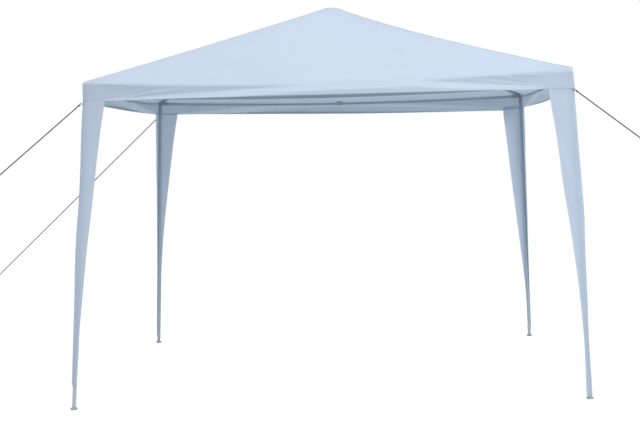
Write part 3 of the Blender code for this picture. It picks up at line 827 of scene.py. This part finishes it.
# %% The leg covers
COVER_OFFSET = 0.0148  # from the leg's axis to the cloth's outer face
COVER_UNDER = 0.0095  # how far its top goes up behind the valance
COVER_CORNER = 0.005
COVER_ROUNDING = 0.08  # the outline's corners are rounded over this far above and below
COVER_HEM = 0.012
COVER_ROW = 0.018
COVER_TOP_ROW = 0.005  # closer together behind the valance
COVER_TOP = 0.03
RIPPLE = 0.0035
RIPPLE_SCALE = (9, 4.5)
RIPPLE_LAYER = 7
RIPPLE_FOLD = 0.02  # an arm starts to ripple at this distance from its fold
RIPPLE_GROWS = 0.08
RIPPLE_TOP = 1.86
RIPPLE_FADE = 0.2
COVER_OUTLINE = {  # how wide each arm is, as (height, width)
    "front_left": (
        (1.899, 0.140), (1.65, 0.1145), (1.467, 0.0975), (1.29, 0.087), (1.036, 0.077),
        (0.80, 0.060), (0.50, 0.0395), (0.30, 0.037), (0.15, 0.031),
    ),
    "front_right": (
        (1.899, 0.156), (1.746, 0.1447), (1.606, 0.1275), (1.514, 0.124), (1.392, 0.120), (1.27, 0.112),
        (1.149, 0.102), (0.966, 0.078), (0.783, 0.058), (0.60, 0.0455), (0.478, 0.036), (0.405, 0.031),
        (0.296, 0.0295), (0.174, 0.033), (0.0884, 0.037), (0.0185, 0.036),
    ),
    "back_right": (
        (1.892, 0.160), (1.63, 0.138), (1.30, 0.110), (0.97, 0.080), (0.40, 0.0285), (0.07, 0.024),
    ),
    "back_left": (
        (1.911, 0.162), (1.76, 0.134), (1.26, 0.080), (0.93, 0.048), (0.60, 0.030), (0.30, 0.0285),
        (0.06, 0.0255),
    ),
}
COVER_SLACK = {  # how far a cover's fold stands off its leg, as (height, distance)
    "front_left": (
        (1.86, 0.001), (1.77, 0.0045), (1.467, 0.001), (1.344, 0.001), (1.22, 0.004), (1.036, 0.012),
        (0.85, 0.0105), (0.667, 0.0068), (0.36, 0.0043), (0.15, 0.002),
    ),
    "front_right": (
        (1.868, 0.008), (1.746, 0.0122), (1.606, 0.0118), (1.514, 0.0134), (1.392, 0.0177), (1.27, 0.0177),
        (1.149, 0.0225), (0.966, 0.0146), (0.783, 0.0104), (0.60, 0.008), (0.405, 0), (0.2, 0),
        (0.1, -0.0003),
    ),
    "back_right": ((1.9, 0),),
    "back_left": ((1.9, 0),),
}
SLACK_TO_FRONT = 0.3  # of the slack, in Y
arm_across = [0, 0.04, 0.08] + [i / 18 for i in range(3, 19)]  # shares of an arm, closer at its fold
cover_across = [-share for share in reversed(arm_across[1:])] + arm_across


def read_outline(points, z):
    """The value at a height, between (height, value) points from the top down."""
    if z >= points[0][0]:
        return points[0][1]
    for (high, above), (low, below) in zip(points, points[1:]):
        if z >= low:
            return below + (above - below) * (z - low) / (high - low)
    return points[-1][1]


def rounded(points, z):
    """The same with its corners rounded, as the mean of the values a little above and below."""
    return sum(read_outline(points, z + COVER_ROUNDING * share) for share in FIVE_SHARES) / 5


def cover_width(corner, z):
    return rounded(COVER_OUTLINE[corner], z)


def sharp_cover(corner, along, z):
    """A point of the cover's outer face.

    along is metres from the corner fold, below 0 on the arm that runs in Y.
    """
    sx, sy = SIGNS[corner]
    slack = rounded(COVER_SLACK[corner], z)
    base = leg_point(corner, z)
    base += Vector((sx * (COVER_OFFSET + slack), sy * (COVER_OFFSET + SLACK_TO_FRONT * slack), 0))
    loose = ease((abs(along) - RIPPLE_FOLD) / RIPPLE_GROWS) * ease((RIPPLE_TOP - z) / RIPPLE_FADE)
    layer = RIPPLE_LAYER + sx + 3 * sy  # another for each corner
    ripple = RIPPLE * loose * noise.noise(Vector((RIPPLE_SCALE[0] * along, RIPPLE_SCALE[1] * z, layer)))
    if along > 0:
        return base + Vector((-sx * along, sy * ripple, 0))
    return base + Vector((sx * ripple, sy * along, 0))


def make_cover(corner):
    low = COVER_OUTLINE[corner][-1][0]
    top = HEM_Z[corner] + COVER_UNDER
    heights = spaced(top, top - COVER_TOP, -COVER_TOP_ROW)
    heights += spaced(top - COVER_TOP, low, -COVER_ROW) + [low]

    def place(i, j):
        z = heights[j]
        along = cover_across[i] * cover_width(corner, z)
        places = [sharp_cover(corner, along + share * COVER_CORNER, z) for share in FIVE_SHARES]
        return sum(places, Vector()) / 5

    def maps(i, j, first):
        z = heights[j]
        width = cover_width(corner, z)
        from_edge = min(width * (1 - abs(cover_across[i])), 1) * HEM / COVER_HEM
        return (cover_across[i] * width, z), (from_edge, z)

    name = "cover_" + corner
    cover = grow_sheet(name, len(heights), len(cover_across), place, maps, never_painted_shade)
    close_sheet(cover, CLOTH_THICK)
    settle(cover, canopy_cloth, ["leg_cover_" + corner])
    area = sum(2 * cover_width(corner, z) * (z - after) for z, after in zip(heights, heights[1:]))
    return cover, area, top - low


covers = {}
for corner in CORNERS:
    cover, area, length = make_cover(corner)
    covers[corner] = (cover, area, length)
    print(cover.name, round(area, 3), "square metres,", round(length, 2), "m long")

# %% [markdown]
# ## Finishes of the frame
# The tubes have a powder coat, pale grey and slightly rough, a little rubbed where the light noise
# says so. The fittings are grey moulded plastic with a fine grain. Pegs are galvanised, with a
# mottled dull shine. The straps are woven webbing.

# %% Finishes of tubes, fittings, pegs and straps
PATCH_SIZE = 12  # how many grains wide a patch of another tone is


def make_finish(name, colours, roughness, metallic, grain, relief):
    """A solid's finish: two colours and two roughnesses mixed by noise, with a fine grain as bump."""
    finish = bpy.data.materials.new(name)
    tree = new_tree(finish)
    place = add_node(tree, "ShaderNodeTexCoord").outputs["Object"]
    coarse = {"Vector": place, "Scale": grain / PATCH_SIZE, "Detail": 5.0}
    patches = add_node(tree, "ShaderNodeTexNoise", coarse).outputs["Fac"]
    fine = {"Vector": place, "Scale": grain, "Detail": 2.0}
    grains = add_node(tree, "ShaderNodeTexNoise", fine).outputs["Fac"]
    colour = mix_colours(tree, patches, (*colours[0], 1), (*colours[1], 1))
    dullness = {"Value": patches, "To Min": roughness[0], "To Max": roughness[1]}
    dull = add_node(tree, "ShaderNodeMapRange", dullness).outputs[0]
    grained = relief_node(tree, grains, relief)
    solid = {"Base Color": colour, "Roughness": dull, "Metallic": metallic, "Normal": grained}
    shader = add_node(tree, "ShaderNodeBsdfPrincipled", solid).outputs[0]
    add_node(tree, "ShaderNodeOutputMaterial", {"Surface": shader})
    return finish


TUBE_COLOURS = ((0.34, 0.43, 0.52), (0.39, 0.48, 0.565))
FITTING_COLOURS = ((0.31, 0.37, 0.43), (0.36, 0.42, 0.48))
SHOE_COLOURS = ((0.27, 0.28, 0.285), (0.33, 0.34, 0.345))
ZINC_COLOURS = ((0.42, 0.43, 0.43), (0.58, 0.59, 0.60))
WEB_COLOURS = ((0.42, 0.48, 0.54), (0.50, 0.56, 0.62))
# after the colours: the roughness from and to, how metallic, how fine the grain is, and its relief
tube_coat = make_finish("tube_coat", TUBE_COLOURS, (0.34, 0.5), 0.0, 900, (0.2, 0.0002))
plastic = make_finish("moulded_plastic", FITTING_COLOURS, (0.5, 0.7), 0.0, 1400, (0.3, 0.0002))
shoe_plastic = make_finish("shoe_plastic", SHOE_COLOURS, (0.5, 0.7), 0.0, 1400, (0.3, 0.0002))
zinc = make_finish("zinc_steel", ZINC_COLOURS, (0.28, 0.5), 0.9, 500, (0.2, 0.0003))
webbing = make_finish("strap_webbing", WEB_COLOURS, (0.75, 0.95), 0.0, 1100, (0.8, 0.0005))
print("five finishes for the frame")

# %% [markdown]
# ## Tubes
# A tube is a curve with a round bevel, because the eave tubes and the rafters are bent. Each point
# of the curve carries its own radius, which gives a sleeve its step. The curve is then made a mesh.
# A leg is two tubes: the upper one stands in the wider lower one, whose top edge is rounded over.

# %% The tubes
TUBE_SIDES = 14  # the bevel resolution, which gives 32 sides
EAVE_R = 0.0088
RAFTER_R = 0.0082
LEG_UPPER_R = 0.0110
LEG_LOWER_R = 0.0118
LEG_JOINT_Z = 0.98
SLEEVE_R = 0.0112
SLEEVE_HALF = 0.030
LEG_START = 0.0203  # from the connector's centre along the leg
LEG_MIDDLE_Z = (1.5, 0.5)  # a point half way along the upper and the lower leg
LEG_END_Z = 0.0063  # inside the foot
EAVE_START = 0.0205
RAFTER_START = 0.035
RAFTER_END = 0.038  # from the hub's middle
TUBE_STEP = 0.05  # between two points of a bent tube, as a share of its length
EDGE = 0.0008  # the height of a rounded step
LIP = 0.0004  # the same at a lower leg's mouth
LEG_INSIDE = 0.002  # how far below its mouth the upper leg ends


def make_tube(name, stations, finish, nodes=()):
    """A round bar through (place, radius) stations, with closed ends."""
    curve = bpy.data.curves.new(name, "CURVE")
    curve.dimensions = "3D"
    curve.bevel_depth = 1
    curve.bevel_resolution = TUBE_SIDES
    curve.use_fill_caps = True
    curve.twist_mode = "MINIMUM"
    spline = curve.splines.new("POLY")
    spline.points.add(len(stations) - 1)
    for point, (place, radius) in zip(spline.points, stations):
        point.co = (*place, 1)
        point.radius = radius
    piece = bpy.data.objects.new(name, curve)
    bpy.context.collection.objects.link(piece)
    choose(piece)
    bpy.ops.object.convert(target="MESH")
    return settle(bpy.context.object, finish, nodes)


def make_eave(side):
    span = 2 * FRAME_HALF
    mouth = 0.5 - SLEEVE_HALF / span
    step = EDGE / span
    shares = [(t, EAVE_R) for t in spaced(EAVE_START / span, mouth, TUBE_STEP)]
    shares += [(mouth, EAVE_R), (mouth + step / 4, SLEEVE_R - EDGE)]
    shares += [(mouth + step, SLEEVE_R), (0.5, SLEEVE_R)]
    shares += [(1 - t, radius) for t, radius in reversed(shares[:-1])]
    stations = [(eave_point(side, t), radius) for t, radius in shares]
    return make_tube("eave_pole_" + side, stations, tube_coat, ["eave_tube_" + side])


def make_rafter(corner):
    length = (Vector((0, 0, HUB_Z)) - connector_centre(corner)).length
    end = 1 - RAFTER_END / length
    shares = spaced(RAFTER_START / length, end, TUBE_STEP) + [end]
    stations = [(rafter_point(corner, t), RAFTER_R) for t in shares]
    return make_tube("rafter_pole_" + corner, stations, tube_coat, ["rafter_" + corner])


def make_leg(corner):
    top = connector_centre(corner)
    start = top.z - LEG_START * (top - FEET[corner]).normalized().z
    upper = [(z, LEG_UPPER_R) for z in (start, LEG_MIDDLE_Z[0], LEG_JOINT_Z - LEG_INSIDE)]
    lower = [(LEG_JOINT_Z, LEG_UPPER_R), (LEG_JOINT_Z - LIP, LEG_LOWER_R - LIP / 2)]
    lower += [(z, LEG_LOWER_R) for z in (LEG_JOINT_Z - EDGE, LEG_MIDDLE_Z[1], LEG_END_Z)]
    for half, stations in (("upper_", upper), ("lower_", lower)):
        places = [(leg_point(corner, z), radius) for z, radius in stations]
        nodes = ["leg_" + half + corner]
        make_tube("leg_pole_" + half + corner, places, tube_coat, nodes)


for side in SIDES:
    make_eave(side)
for corner in CORNERS:
    make_rafter(corner)
    make_leg(corner)
print("sixteen tubes")

# %% [markdown]
# The photograph shows a small lump on the middle of the back eave tube. It's taken for the clip
# that locks the two halves together, so each sleeve gets one, on its upper inner side, where it
# clears the roof.

# %% Clips on the eave tubes
CLIP_SIZE = (0.046, 0.012, 0.015)
CLIP_EDGE = 0.004
CLIP_RAISED = 0.3  # of its height, from the sleeve's face to its middle


def make_clip(side):
    """A rounded block that lies along the sleeve."""
    middle = eave_point(side, 0.5)
    along = heading_of(eave_point, side, 0.5, 1)
    inwards = Vector((-middle.x, -middle.y, 0))
    facing = (inwards.normalized() + Vector((0, 0, 1))).normalized()
    turn = Matrix((along, facing.cross(along), facing)).transposed()
    bpy.ops.object.select_all(action="DESELECT")
    bpy.ops.mesh.primitive_cube_add(
        size=1,
        location=middle + (SLEEVE_R + CLIP_RAISED * CLIP_SIZE[2]) * facing,
        rotation=turn.to_euler(),
        scale=CLIP_SIZE,
    )
    clip = bpy.context.object
    clip.name = "clip_" + side
    choose(clip)
    bpy.ops.object.transform_apply(location=True, rotation=True, scale=True)
    apply_modifier(clip, "BEVEL", width=CLIP_EDGE, segments=4)
    return settle(clip, plastic)


for side in SIDES:
    make_clip(side)
print("four clips")

# %% [markdown]
# ## Fittings
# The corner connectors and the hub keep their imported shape, which is right as it is, and get the
# plastic's finish. What they lack is added: a rounded collar at each socket's mouth. A collar is a
# torus round the tube.

# %% Connectors, hub and collars
SOCKET_END = 0.066
RAFTER_SOCKET_END = 0.078
EAVE_SOCKET_R = 0.0119
RAFTER_SOCKET_R = 0.0109
LEG_SOCKET_R = 0.0129
COLLAR_LIP = 0.0006  # half of how far a collar stands out from its socket


def finish_node(node, finish):
    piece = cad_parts[node]
    piece.data.materials.clear()
    piece.data.materials.append(finish)


def make_collars(name, rings):
    """Rounded rings, each (centre, axis, tube radius, socket radius), joined as one piece."""
    made = []
    for centre, axis, inner, outer in rings:
        bpy.ops.object.select_all(action="DESELECT")
        bpy.ops.mesh.primitive_torus_add(
            location=centre,
            rotation=axis.to_track_quat("Z", "Y").to_euler(),
            major_segments=40,
            minor_segments=12,
            major_radius=(inner + outer) / 2 + COLLAR_LIP,
            minor_radius=(outer - inner) / 2 + COLLAR_LIP,
        )
        made.append(bpy.context.object)
    bpy.ops.object.select_all(action="DESELECT")
    for ring in made:
        ring.select_set(True)
    bpy.context.view_layer.objects.active = made[0]
    bpy.ops.object.join()
    made[0].name = name
    return settle(made[0], plastic)


hub_rings = []
for k, corner in enumerate(CORNERS):
    finish_node("corner_connector_" + corner, plastic)
    centre = connector_centre(corner)
    down = (FEET[corner] - centre).normalized()
    leaving = heading_of(eave_point, SIDES[k], 0, 1)
    arriving = heading_of(eave_point, SIDES[k - 1], 1, -1)
    rising = heading_of(rafter_point, corner, 0, 1)
    falling = heading_of(rafter_point, corner, 1, -1)
    lifted = centre + Vector((0, 0, RAFTER_LIFT))
    make_collars(
        "collars_" + corner,
        (
            (centre + SOCKET_END * down, down, LEG_UPPER_R, LEG_SOCKET_R),
            (centre + SOCKET_END * leaving, leaving, EAVE_R, EAVE_SOCKET_R),
            (centre + SOCKET_END * arriving, arriving, EAVE_R, EAVE_SOCKET_R),
            (lifted + RAFTER_SOCKET_END * rising, rising, RAFTER_R, RAFTER_SOCKET_R),
        ),
    )
    mouth = Vector((0, 0, HUB_Z)) + RAFTER_SOCKET_END * falling
    hub_rings.append((mouth, falling, RAFTER_R, RAFTER_SOCKET_R))
finish_node("peak_hub", plastic)
make_collars("collars_hub", hub_rings)
print("collars at twenty sockets")

# %% [markdown]
# ## Feet
# A foot is a low moulded shoe: a thick round pad on the ground, whose top slopes up to the tube
# that stands in it. It starts as a circle, which is extruded up and resized again and again, as on
# a lathe.

# %% The feet
FOOT_PROFILE = (
    (0.0, 0.0195),
    (0.0010, 0.0212),
    (0.0030, 0.0215),
    (0.0085, 0.0215),
    (0.0103, 0.0207),
    (0.0115, 0.0185),
    (0.0127, 0.0160),
    (0.0143, 0.0146),
    (0.0163, 0.0139),
    (0.0170, 0.0132),
    (0.0170, 0.0120),
    (0.0055, 0.0120),
)


def make_turned(name, profile, sides):
    """A circle extruded up and resized through (height, radius) pairs."""
    bpy.ops.object.select_all(action="DESELECT")
    height, radius = profile[0]
    start = (0, 0, height)
    bpy.ops.mesh.primitive_circle_add(vertices=sides, radius=radius, fill_type="NGON", location=start)
    piece = bpy.context.object
    piece.name = name
    bpy.ops.object.mode_set(mode="EDIT")
    bpy.ops.mesh.select_all(action="SELECT")
    for next_height, next_radius in profile[1:]:
        bpy.ops.mesh.extrude_region_move(TRANSFORM_OT_translate={"value": (0, 0, next_height - height)})
        factor = next_radius / radius
        bpy.ops.transform.resize(value=(factor, factor, 1))
        height, radius = next_height, next_radius
    bpy.ops.mesh.select_all(action="SELECT")
    bpy.ops.mesh.normals_make_consistent(inside=False)
    bpy.ops.object.mode_set(mode="OBJECT")
    return piece


for corner in CORNERS:
    foot = make_turned("shoe_" + corner, FOOT_PROFILE, 48)
    top = connector_centre(corner)
    lean = (top - FEET[corner]) / top.z
    for vertex in foot.data.vertices:
        z = vertex.co.z
        vertex.co += FEET[corner] + lean * z - Vector((0, 0, z))
    settle(foot, shoe_plastic, ["foot_" + corner])
print("four feet", round(2 * FOOT_PROFILE[2][1] * 1000), "mm wide")

# %% [markdown]
# ## Guy ropes
# A guy rope is laid from three strands. Its section is a ring with three lobes, which turns as it
# goes along, so the strands wind round each other. The rope runs straight from the webbing loop to
# the peg, because it is taut. The same function makes the eye through the loop, the knot and the
# turns round the peg, which only take other routes.

# %% Rope
ROPE_R = 0.0038
EYE_R = 0.0017  # the thinner cord of a rope's eye
TWINE_R = 0.0009  # what lashes the eye to the rope
ROPE_LAY = 0.022  # the length in which a strand goes round once
STRAND_GROOVE = 0.20  # of the radius
ROPE_STEP = 0.0035  # between two rings of a rope
TURN_STEP = 0.0015  # the same in its turns and knots
CORD_STEP = 0.0012
KNOT_FROM_EYE = 0.019
EYE_LONG = 0.006
EYE_HALF = 0.0045
EYE_HANGS = 0.6  # of the loop's radius, outside its centre
EYE_APART = 0.0002  # half the gap between the eye's two ends
TWINE_TURNS = 6
TWINE_BACK = 0.004  # the lashing starts this far before the knot
ROPE_STARTS = 0.002  # and the rope this far past it
PEG_TURNS = 2
PEG_CLEAR = 0.0004
TAIL_TURNS = 3
TAIL_WRAP = 0.030  # from the peg up to the tail's lashing
TURN_PITCH = 2.1  # radii from one turn to the next
TAIL_PITCH = 2.05
LOOP_Z = {"front_left": 1.875, "front_right": 1.882, "back_right": 1.869, "back_left": 1.878}
LOOP_R = 0.008  # the webbing loop that the rope is tied to
LOOP_SEAM = 0.015  # from the leg's axis to the fold that the loop is sewn to, in X and Y
LOOP_SUNK = 0.004  # how deep it is sewn in
PEG_R = 0.0035
PEG_LEAN = math.radians(15)
PEG_STRAIGHT = 0.050
PEG_HOOK_R = 0.011
PEG_TIP = 0.014  # how far the hook's end comes down
PEG_HOLD_Z = 0.0215  # where the rope goes round the peg
PEG_PLACES = {
    "front_left": Vector((-3.485, -2.550, 0)),
    "back_left": Vector((-3.688, 2.550, 0)),
    "front_right": Vector((3.688, -2.550, 0)),
}

ROPE_COLOURS = ((0.024, 0.026, 0.025), (0.052, 0.055, 0.053))
rope_fibre = make_finish("rope_fibre", ROPE_COLOURS, (0.7, 0.9), 0.0, 1500, (0.9, 0.0004))


def evenly(points, step):
    """The same route with a point about every step metres, rounded at its corners."""
    lengths = [0]
    for before, after in zip(points, points[1:]):
        lengths.append(lengths[-1] + (after - before).length)
    count = max(round(lengths[-1] / step), 2)
    route = []
    k = 0
    for i in range(count + 1):
        distance = lengths[-1] * i / count
        while k < len(points) - 2 and lengths[k + 1] < distance:
            k += 1
        share = (distance - lengths[k]) / (lengths[k + 1] - lengths[k])
        route.append(points[k].lerp(points[k + 1], share))
    return route


def lay_rope(route, radius, sides=15):
    """Vertices and faces of a three-strand rope along a route, with closed ends."""
    vertices, faces = [], []
    across = (route[1] - route[0]).orthogonal().normalized()
    travelled = 0
    for i, place in enumerate(route):
        before = route[max(i - 1, 0)]
        after = route[min(i + 1, len(route) - 1)]
        heading = (after - before).normalized()
        across = (across - across.dot(heading) * heading).normalized()
        beside = heading.cross(across)
        if i:
            travelled += (place - before).length
        turn = 2 * math.pi * travelled / ROPE_LAY
        for k in range(sides):
            angle = 2 * math.pi * k / sides
            lobe = 1 - STRAND_GROOVE * (1 - abs(math.cos(1.5 * (angle - turn))))
            vertices.append(place + radius * lobe * (math.cos(angle) * across + math.sin(angle) * beside))
    for i in range(len(route) - 1):
        for k in range(sides):
            a = i * sides + k
            b = i * sides + (k + 1) % sides
            faces.append((a, b, b + sides, a + sides))
    last = (len(route) - 1) * sides
    faces.append(tuple(reversed(range(sides))))
    faces.append(tuple(range(last, last + sides)))
    return vertices, faces


def mesh_piece(name, bodies):
    """One piece from several bodies of (vertices, faces)."""
    vertices, faces = [], []
    for more_vertices, more_faces in bodies:
        start = len(vertices)
        vertices += [tuple(v) for v in more_vertices]
        faces += [tuple(start + k for k in face) for face in more_faces]
    mesh = bpy.data.meshes.new(name)
    mesh.from_pydata(vertices, [], faces)
    piece = bpy.data.objects.new(name, mesh)
    bpy.context.collection.objects.link(piece)
    return piece


print("rope of three strands,", ROPE_R * 2000, "mm thick")

# %% [markdown]
# An eye of thinner cord goes through the webbing loop, and six turns of twine lash it to the rope.
# At the other end the rope goes twice round the peg, under the hook, and its tail is lashed back to
# it.

# %% The three ropes


def rope_heading(corner):
    """The level direction from the tent's corner to the peg, or straight out where there is no rope."""
    if corner not in PEG_PLACES:
        return Vector((*SIGNS[corner], 0)).normalized()
    level_run = PEG_PLACES[corner] - leg_point(corner, LOOP_Z[corner])
    level_run.z = 0
    return level_run.normalized()


def loop_centre(corner):
    sx, sy = SIGNS[corner]
    reach = LOOP_SEAM + (LOOP_R - LOOP_SUNK) / math.sqrt(2)
    return leg_point(corner, LOOP_Z[corner]) + Vector((sx * reach, sy * reach, 0))


def turns(centre, axis, start, radius, pitch, count, steps=24):
    """A coil's route round an axis, which starts in the direction start."""
    beside = axis.cross(start)
    route = []
    for i in range(round(count * steps) + 1):
        angle = 2 * math.pi * i / steps
        outwards = math.cos(angle) * start + math.sin(angle) * beside
        route.append(centre + radius * outwards + pitch * i / steps * axis)
    return route


def make_guy(corner):
    away = rope_heading(corner)
    up = Vector((0, 0, 1))
    aside = up.cross(away)
    lean = math.cos(PEG_LEAN) * up + math.sin(PEG_LEAN) * away
    hold = PEG_PLACES[corner] + PEG_HOLD_Z * math.tan(PEG_LEAN) * away + PEG_HOLD_Z * up
    round_r = PEG_R + ROPE_R + PEG_CLEAR
    low_end = hold + round_r * aside
    eye_end = loop_centre(corner) + EYE_HANGS * LOOP_R * away
    pull = (low_end - eye_end).normalized()
    gap = EYE_R + EYE_APART
    knot = eye_end + KNOT_FROM_EYE * pull
    side_way = pull.cross(aside).normalized()
    eye = [knot - gap * side_way]
    for i in range(9):
        angle = math.pi * i / 8
        bend = EYE_LONG * (1 - math.sin(angle)) * pull
        eye.append(eye_end + bend - EYE_HALF * math.cos(angle) * side_way)
    eye.append(knot + gap * side_way)
    wrap_start = knot - TWINE_BACK * pull
    wrap = turns(wrap_start, pull, side_way, 2 * EYE_R + TWINE_R, TURN_PITCH * TWINE_R, TWINE_TURNS)
    main = [knot + ROPE_STARTS * pull, low_end]
    peg_turns = turns(hold, -lean, aside, round_r, TURN_PITCH * ROPE_R, PEG_TURNS)
    tail_start = low_end - TAIL_WRAP * pull
    tail_wrap = turns(tail_start, -pull, side_way, TAIL_PITCH * ROPE_R, TAIL_PITCH * ROPE_R, TAIL_TURNS)
    routes = (
        (main, ROPE_STEP, ROPE_R),
        (peg_turns, TURN_STEP, ROPE_R),
        (tail_wrap, TURN_STEP, ROPE_R),
        (eye, CORD_STEP, EYE_R),
        (wrap, CORD_STEP, TWINE_R),
    )
    bodies = [lay_rope(evenly(route, step), radius) for route, step, radius in routes]
    guy = mesh_piece("guy_" + corner, bodies)
    length = (knot - low_end).length
    return settle(guy, rope_fibre, ["guy_rope_" + corner]), length


for corner in ROPED:
    guy, length = make_guy(corner)
    print(guy.name, round(length, 2), "m from knot to peg")

# %% [markdown]
# ## Webbing loops, ties and pegs
# Each cover carries a loop of webbing for the rope, also at the corner without a rope. It is a
# short open cylinder with a wall. The same band, closer to the tube, ties the covers and the canopy
# to the frame. A peg is a bent steel rod, so it is made as the tubes are, with a rounded tip.

# %% Loops and ties
LOOP_WIDTH = 0.008
WEB_THICK = 0.0012
WEB_EDGE = 0.0003
TIE_WIDTH = 0.018
TIE_GAP = 0.0004  # between a tube and its tie
END_TIE_GAP = 0.0001
END_TIE_ABOVE = 0.003  # from the cover's end to the middle of its tie
COVER_TIE_Z = 1.40
SHOE_TIE_Z = 0.0265  # a tie that just clears the shoe
EAVE_TIE_AT = 0.65


def make_band(name, centre, axis, radius, width):
    """A ring of webbing round an axis."""
    bpy.ops.object.select_all(action="DESELECT")
    bpy.ops.mesh.primitive_cylinder_add(
        vertices=40,
        radius=radius,
        depth=width,
        end_fill_type="NOTHING",
        location=centre,
        rotation=axis.to_track_quat("Z", "Y").to_euler(),
    )
    band = bpy.context.object
    band.name = name
    choose(band)
    bpy.ops.object.transform_apply(location=True, rotation=True, scale=True)
    apply_modifier(band, "SOLIDIFY", thickness=WEB_THICK, offset=1)
    apply_modifier(band, "BEVEL", width=WEB_EDGE, segments=2)
    return settle(band, webbing)


cover_extras = {corner: [] for corner in CORNERS}
for corner in CORNERS:
    axis = Vector((0, 0, 1)).cross(rope_heading(corner))
    loop = make_band("rope_loop_" + corner, loop_centre(corner), axis, LOOP_R, LOOP_WIDTH)
    leg_axis = (connector_centre(corner) - FEET[corner]).normalized()
    low = COVER_OUTLINE[corner][-1][0]
    high_place = leg_point(corner, COVER_TIE_Z)
    low_place = leg_point(corner, max(low + END_TIE_ABOVE, SHOE_TIE_Z))
    tie = make_band("cover_tie_" + corner, high_place, leg_axis, LEG_UPPER_R + TIE_GAP, TIE_WIDTH)
    end_r = LEG_LOWER_R + END_TIE_GAP
    end_tie = make_band("cover_end_tie_" + corner, low_place, leg_axis, end_r, TIE_WIDTH)
    cover_extras[corner] = [loop, tie, end_tie]
for side in SIDES:
    centre = eave_point(side, EAVE_TIE_AT)
    axis = heading_of(eave_point, side, EAVE_TIE_AT, 1)
    make_band("eave_tie_" + side, centre, axis, EAVE_R + TIE_GAP, TIE_WIDTH)
for corner in CORNERS:
    cover, area, length = covers[corner]
print("a loop and two ties on each cover")

# %% The ground pegs
PEG_LEVEL = 0.0015  # the rod's end lies below this and is made level with the ground
PEG_START = 0.004  # a point just above the rod's end
HOOK_POINTS = 16
TIP_POINTS = 5
TIP_SMALL = 0.05  # the tip's last radius, as a share


def make_peg(corner):
    away = rope_heading(corner)
    up = Vector((0, 0, 1))
    lean = math.cos(PEG_LEAN) * up + math.sin(PEG_LEAN) * away
    side_way = math.cos(PEG_LEAN) * away - math.sin(PEG_LEAN) * up
    base = PEG_PLACES[corner]
    top = base + PEG_STRAIGHT * lean
    bend = top + PEG_HOOK_R * side_way
    stations = [(base, PEG_R), (base + PEG_START * lean, PEG_R), (top, PEG_R)]
    for i in range(1, HOOK_POINTS + 1):
        angle = math.pi * i / HOOK_POINTS
        outwards = math.sin(angle) * lean - math.cos(angle) * side_way
        stations.append((bend + PEG_HOOK_R * outwards, PEG_R))
    tip = stations[-1][0]
    stations.append((tip - (PEG_TIP - PEG_R) * lean, PEG_R))
    for i in range(1, TIP_POINTS + 1):
        angle = math.pi / 2 * i / TIP_POINTS
        reach = PEG_TIP - PEG_R + PEG_R * math.sin(angle)
        stations.append((tip - reach * lean, PEG_R * max(math.cos(angle), TIP_SMALL)))
    peg = make_tube("peg_" + corner, stations, zinc, ["ground_peg_" + corner])
    for vertex in peg.data.vertices:
        if vertex.co.z < PEG_LEVEL:
            vertex.co.z = 0


for corner in ROPED:
    make_peg(corner)
print("three pegs")

# %% [markdown]
# ## Size
# The dressed tent should fill the imported tent's box. Its size is printed.

# %% The dressed model's size
low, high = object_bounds()
print("the dressed model is", [round(x, 3) for x in high - low], "m")
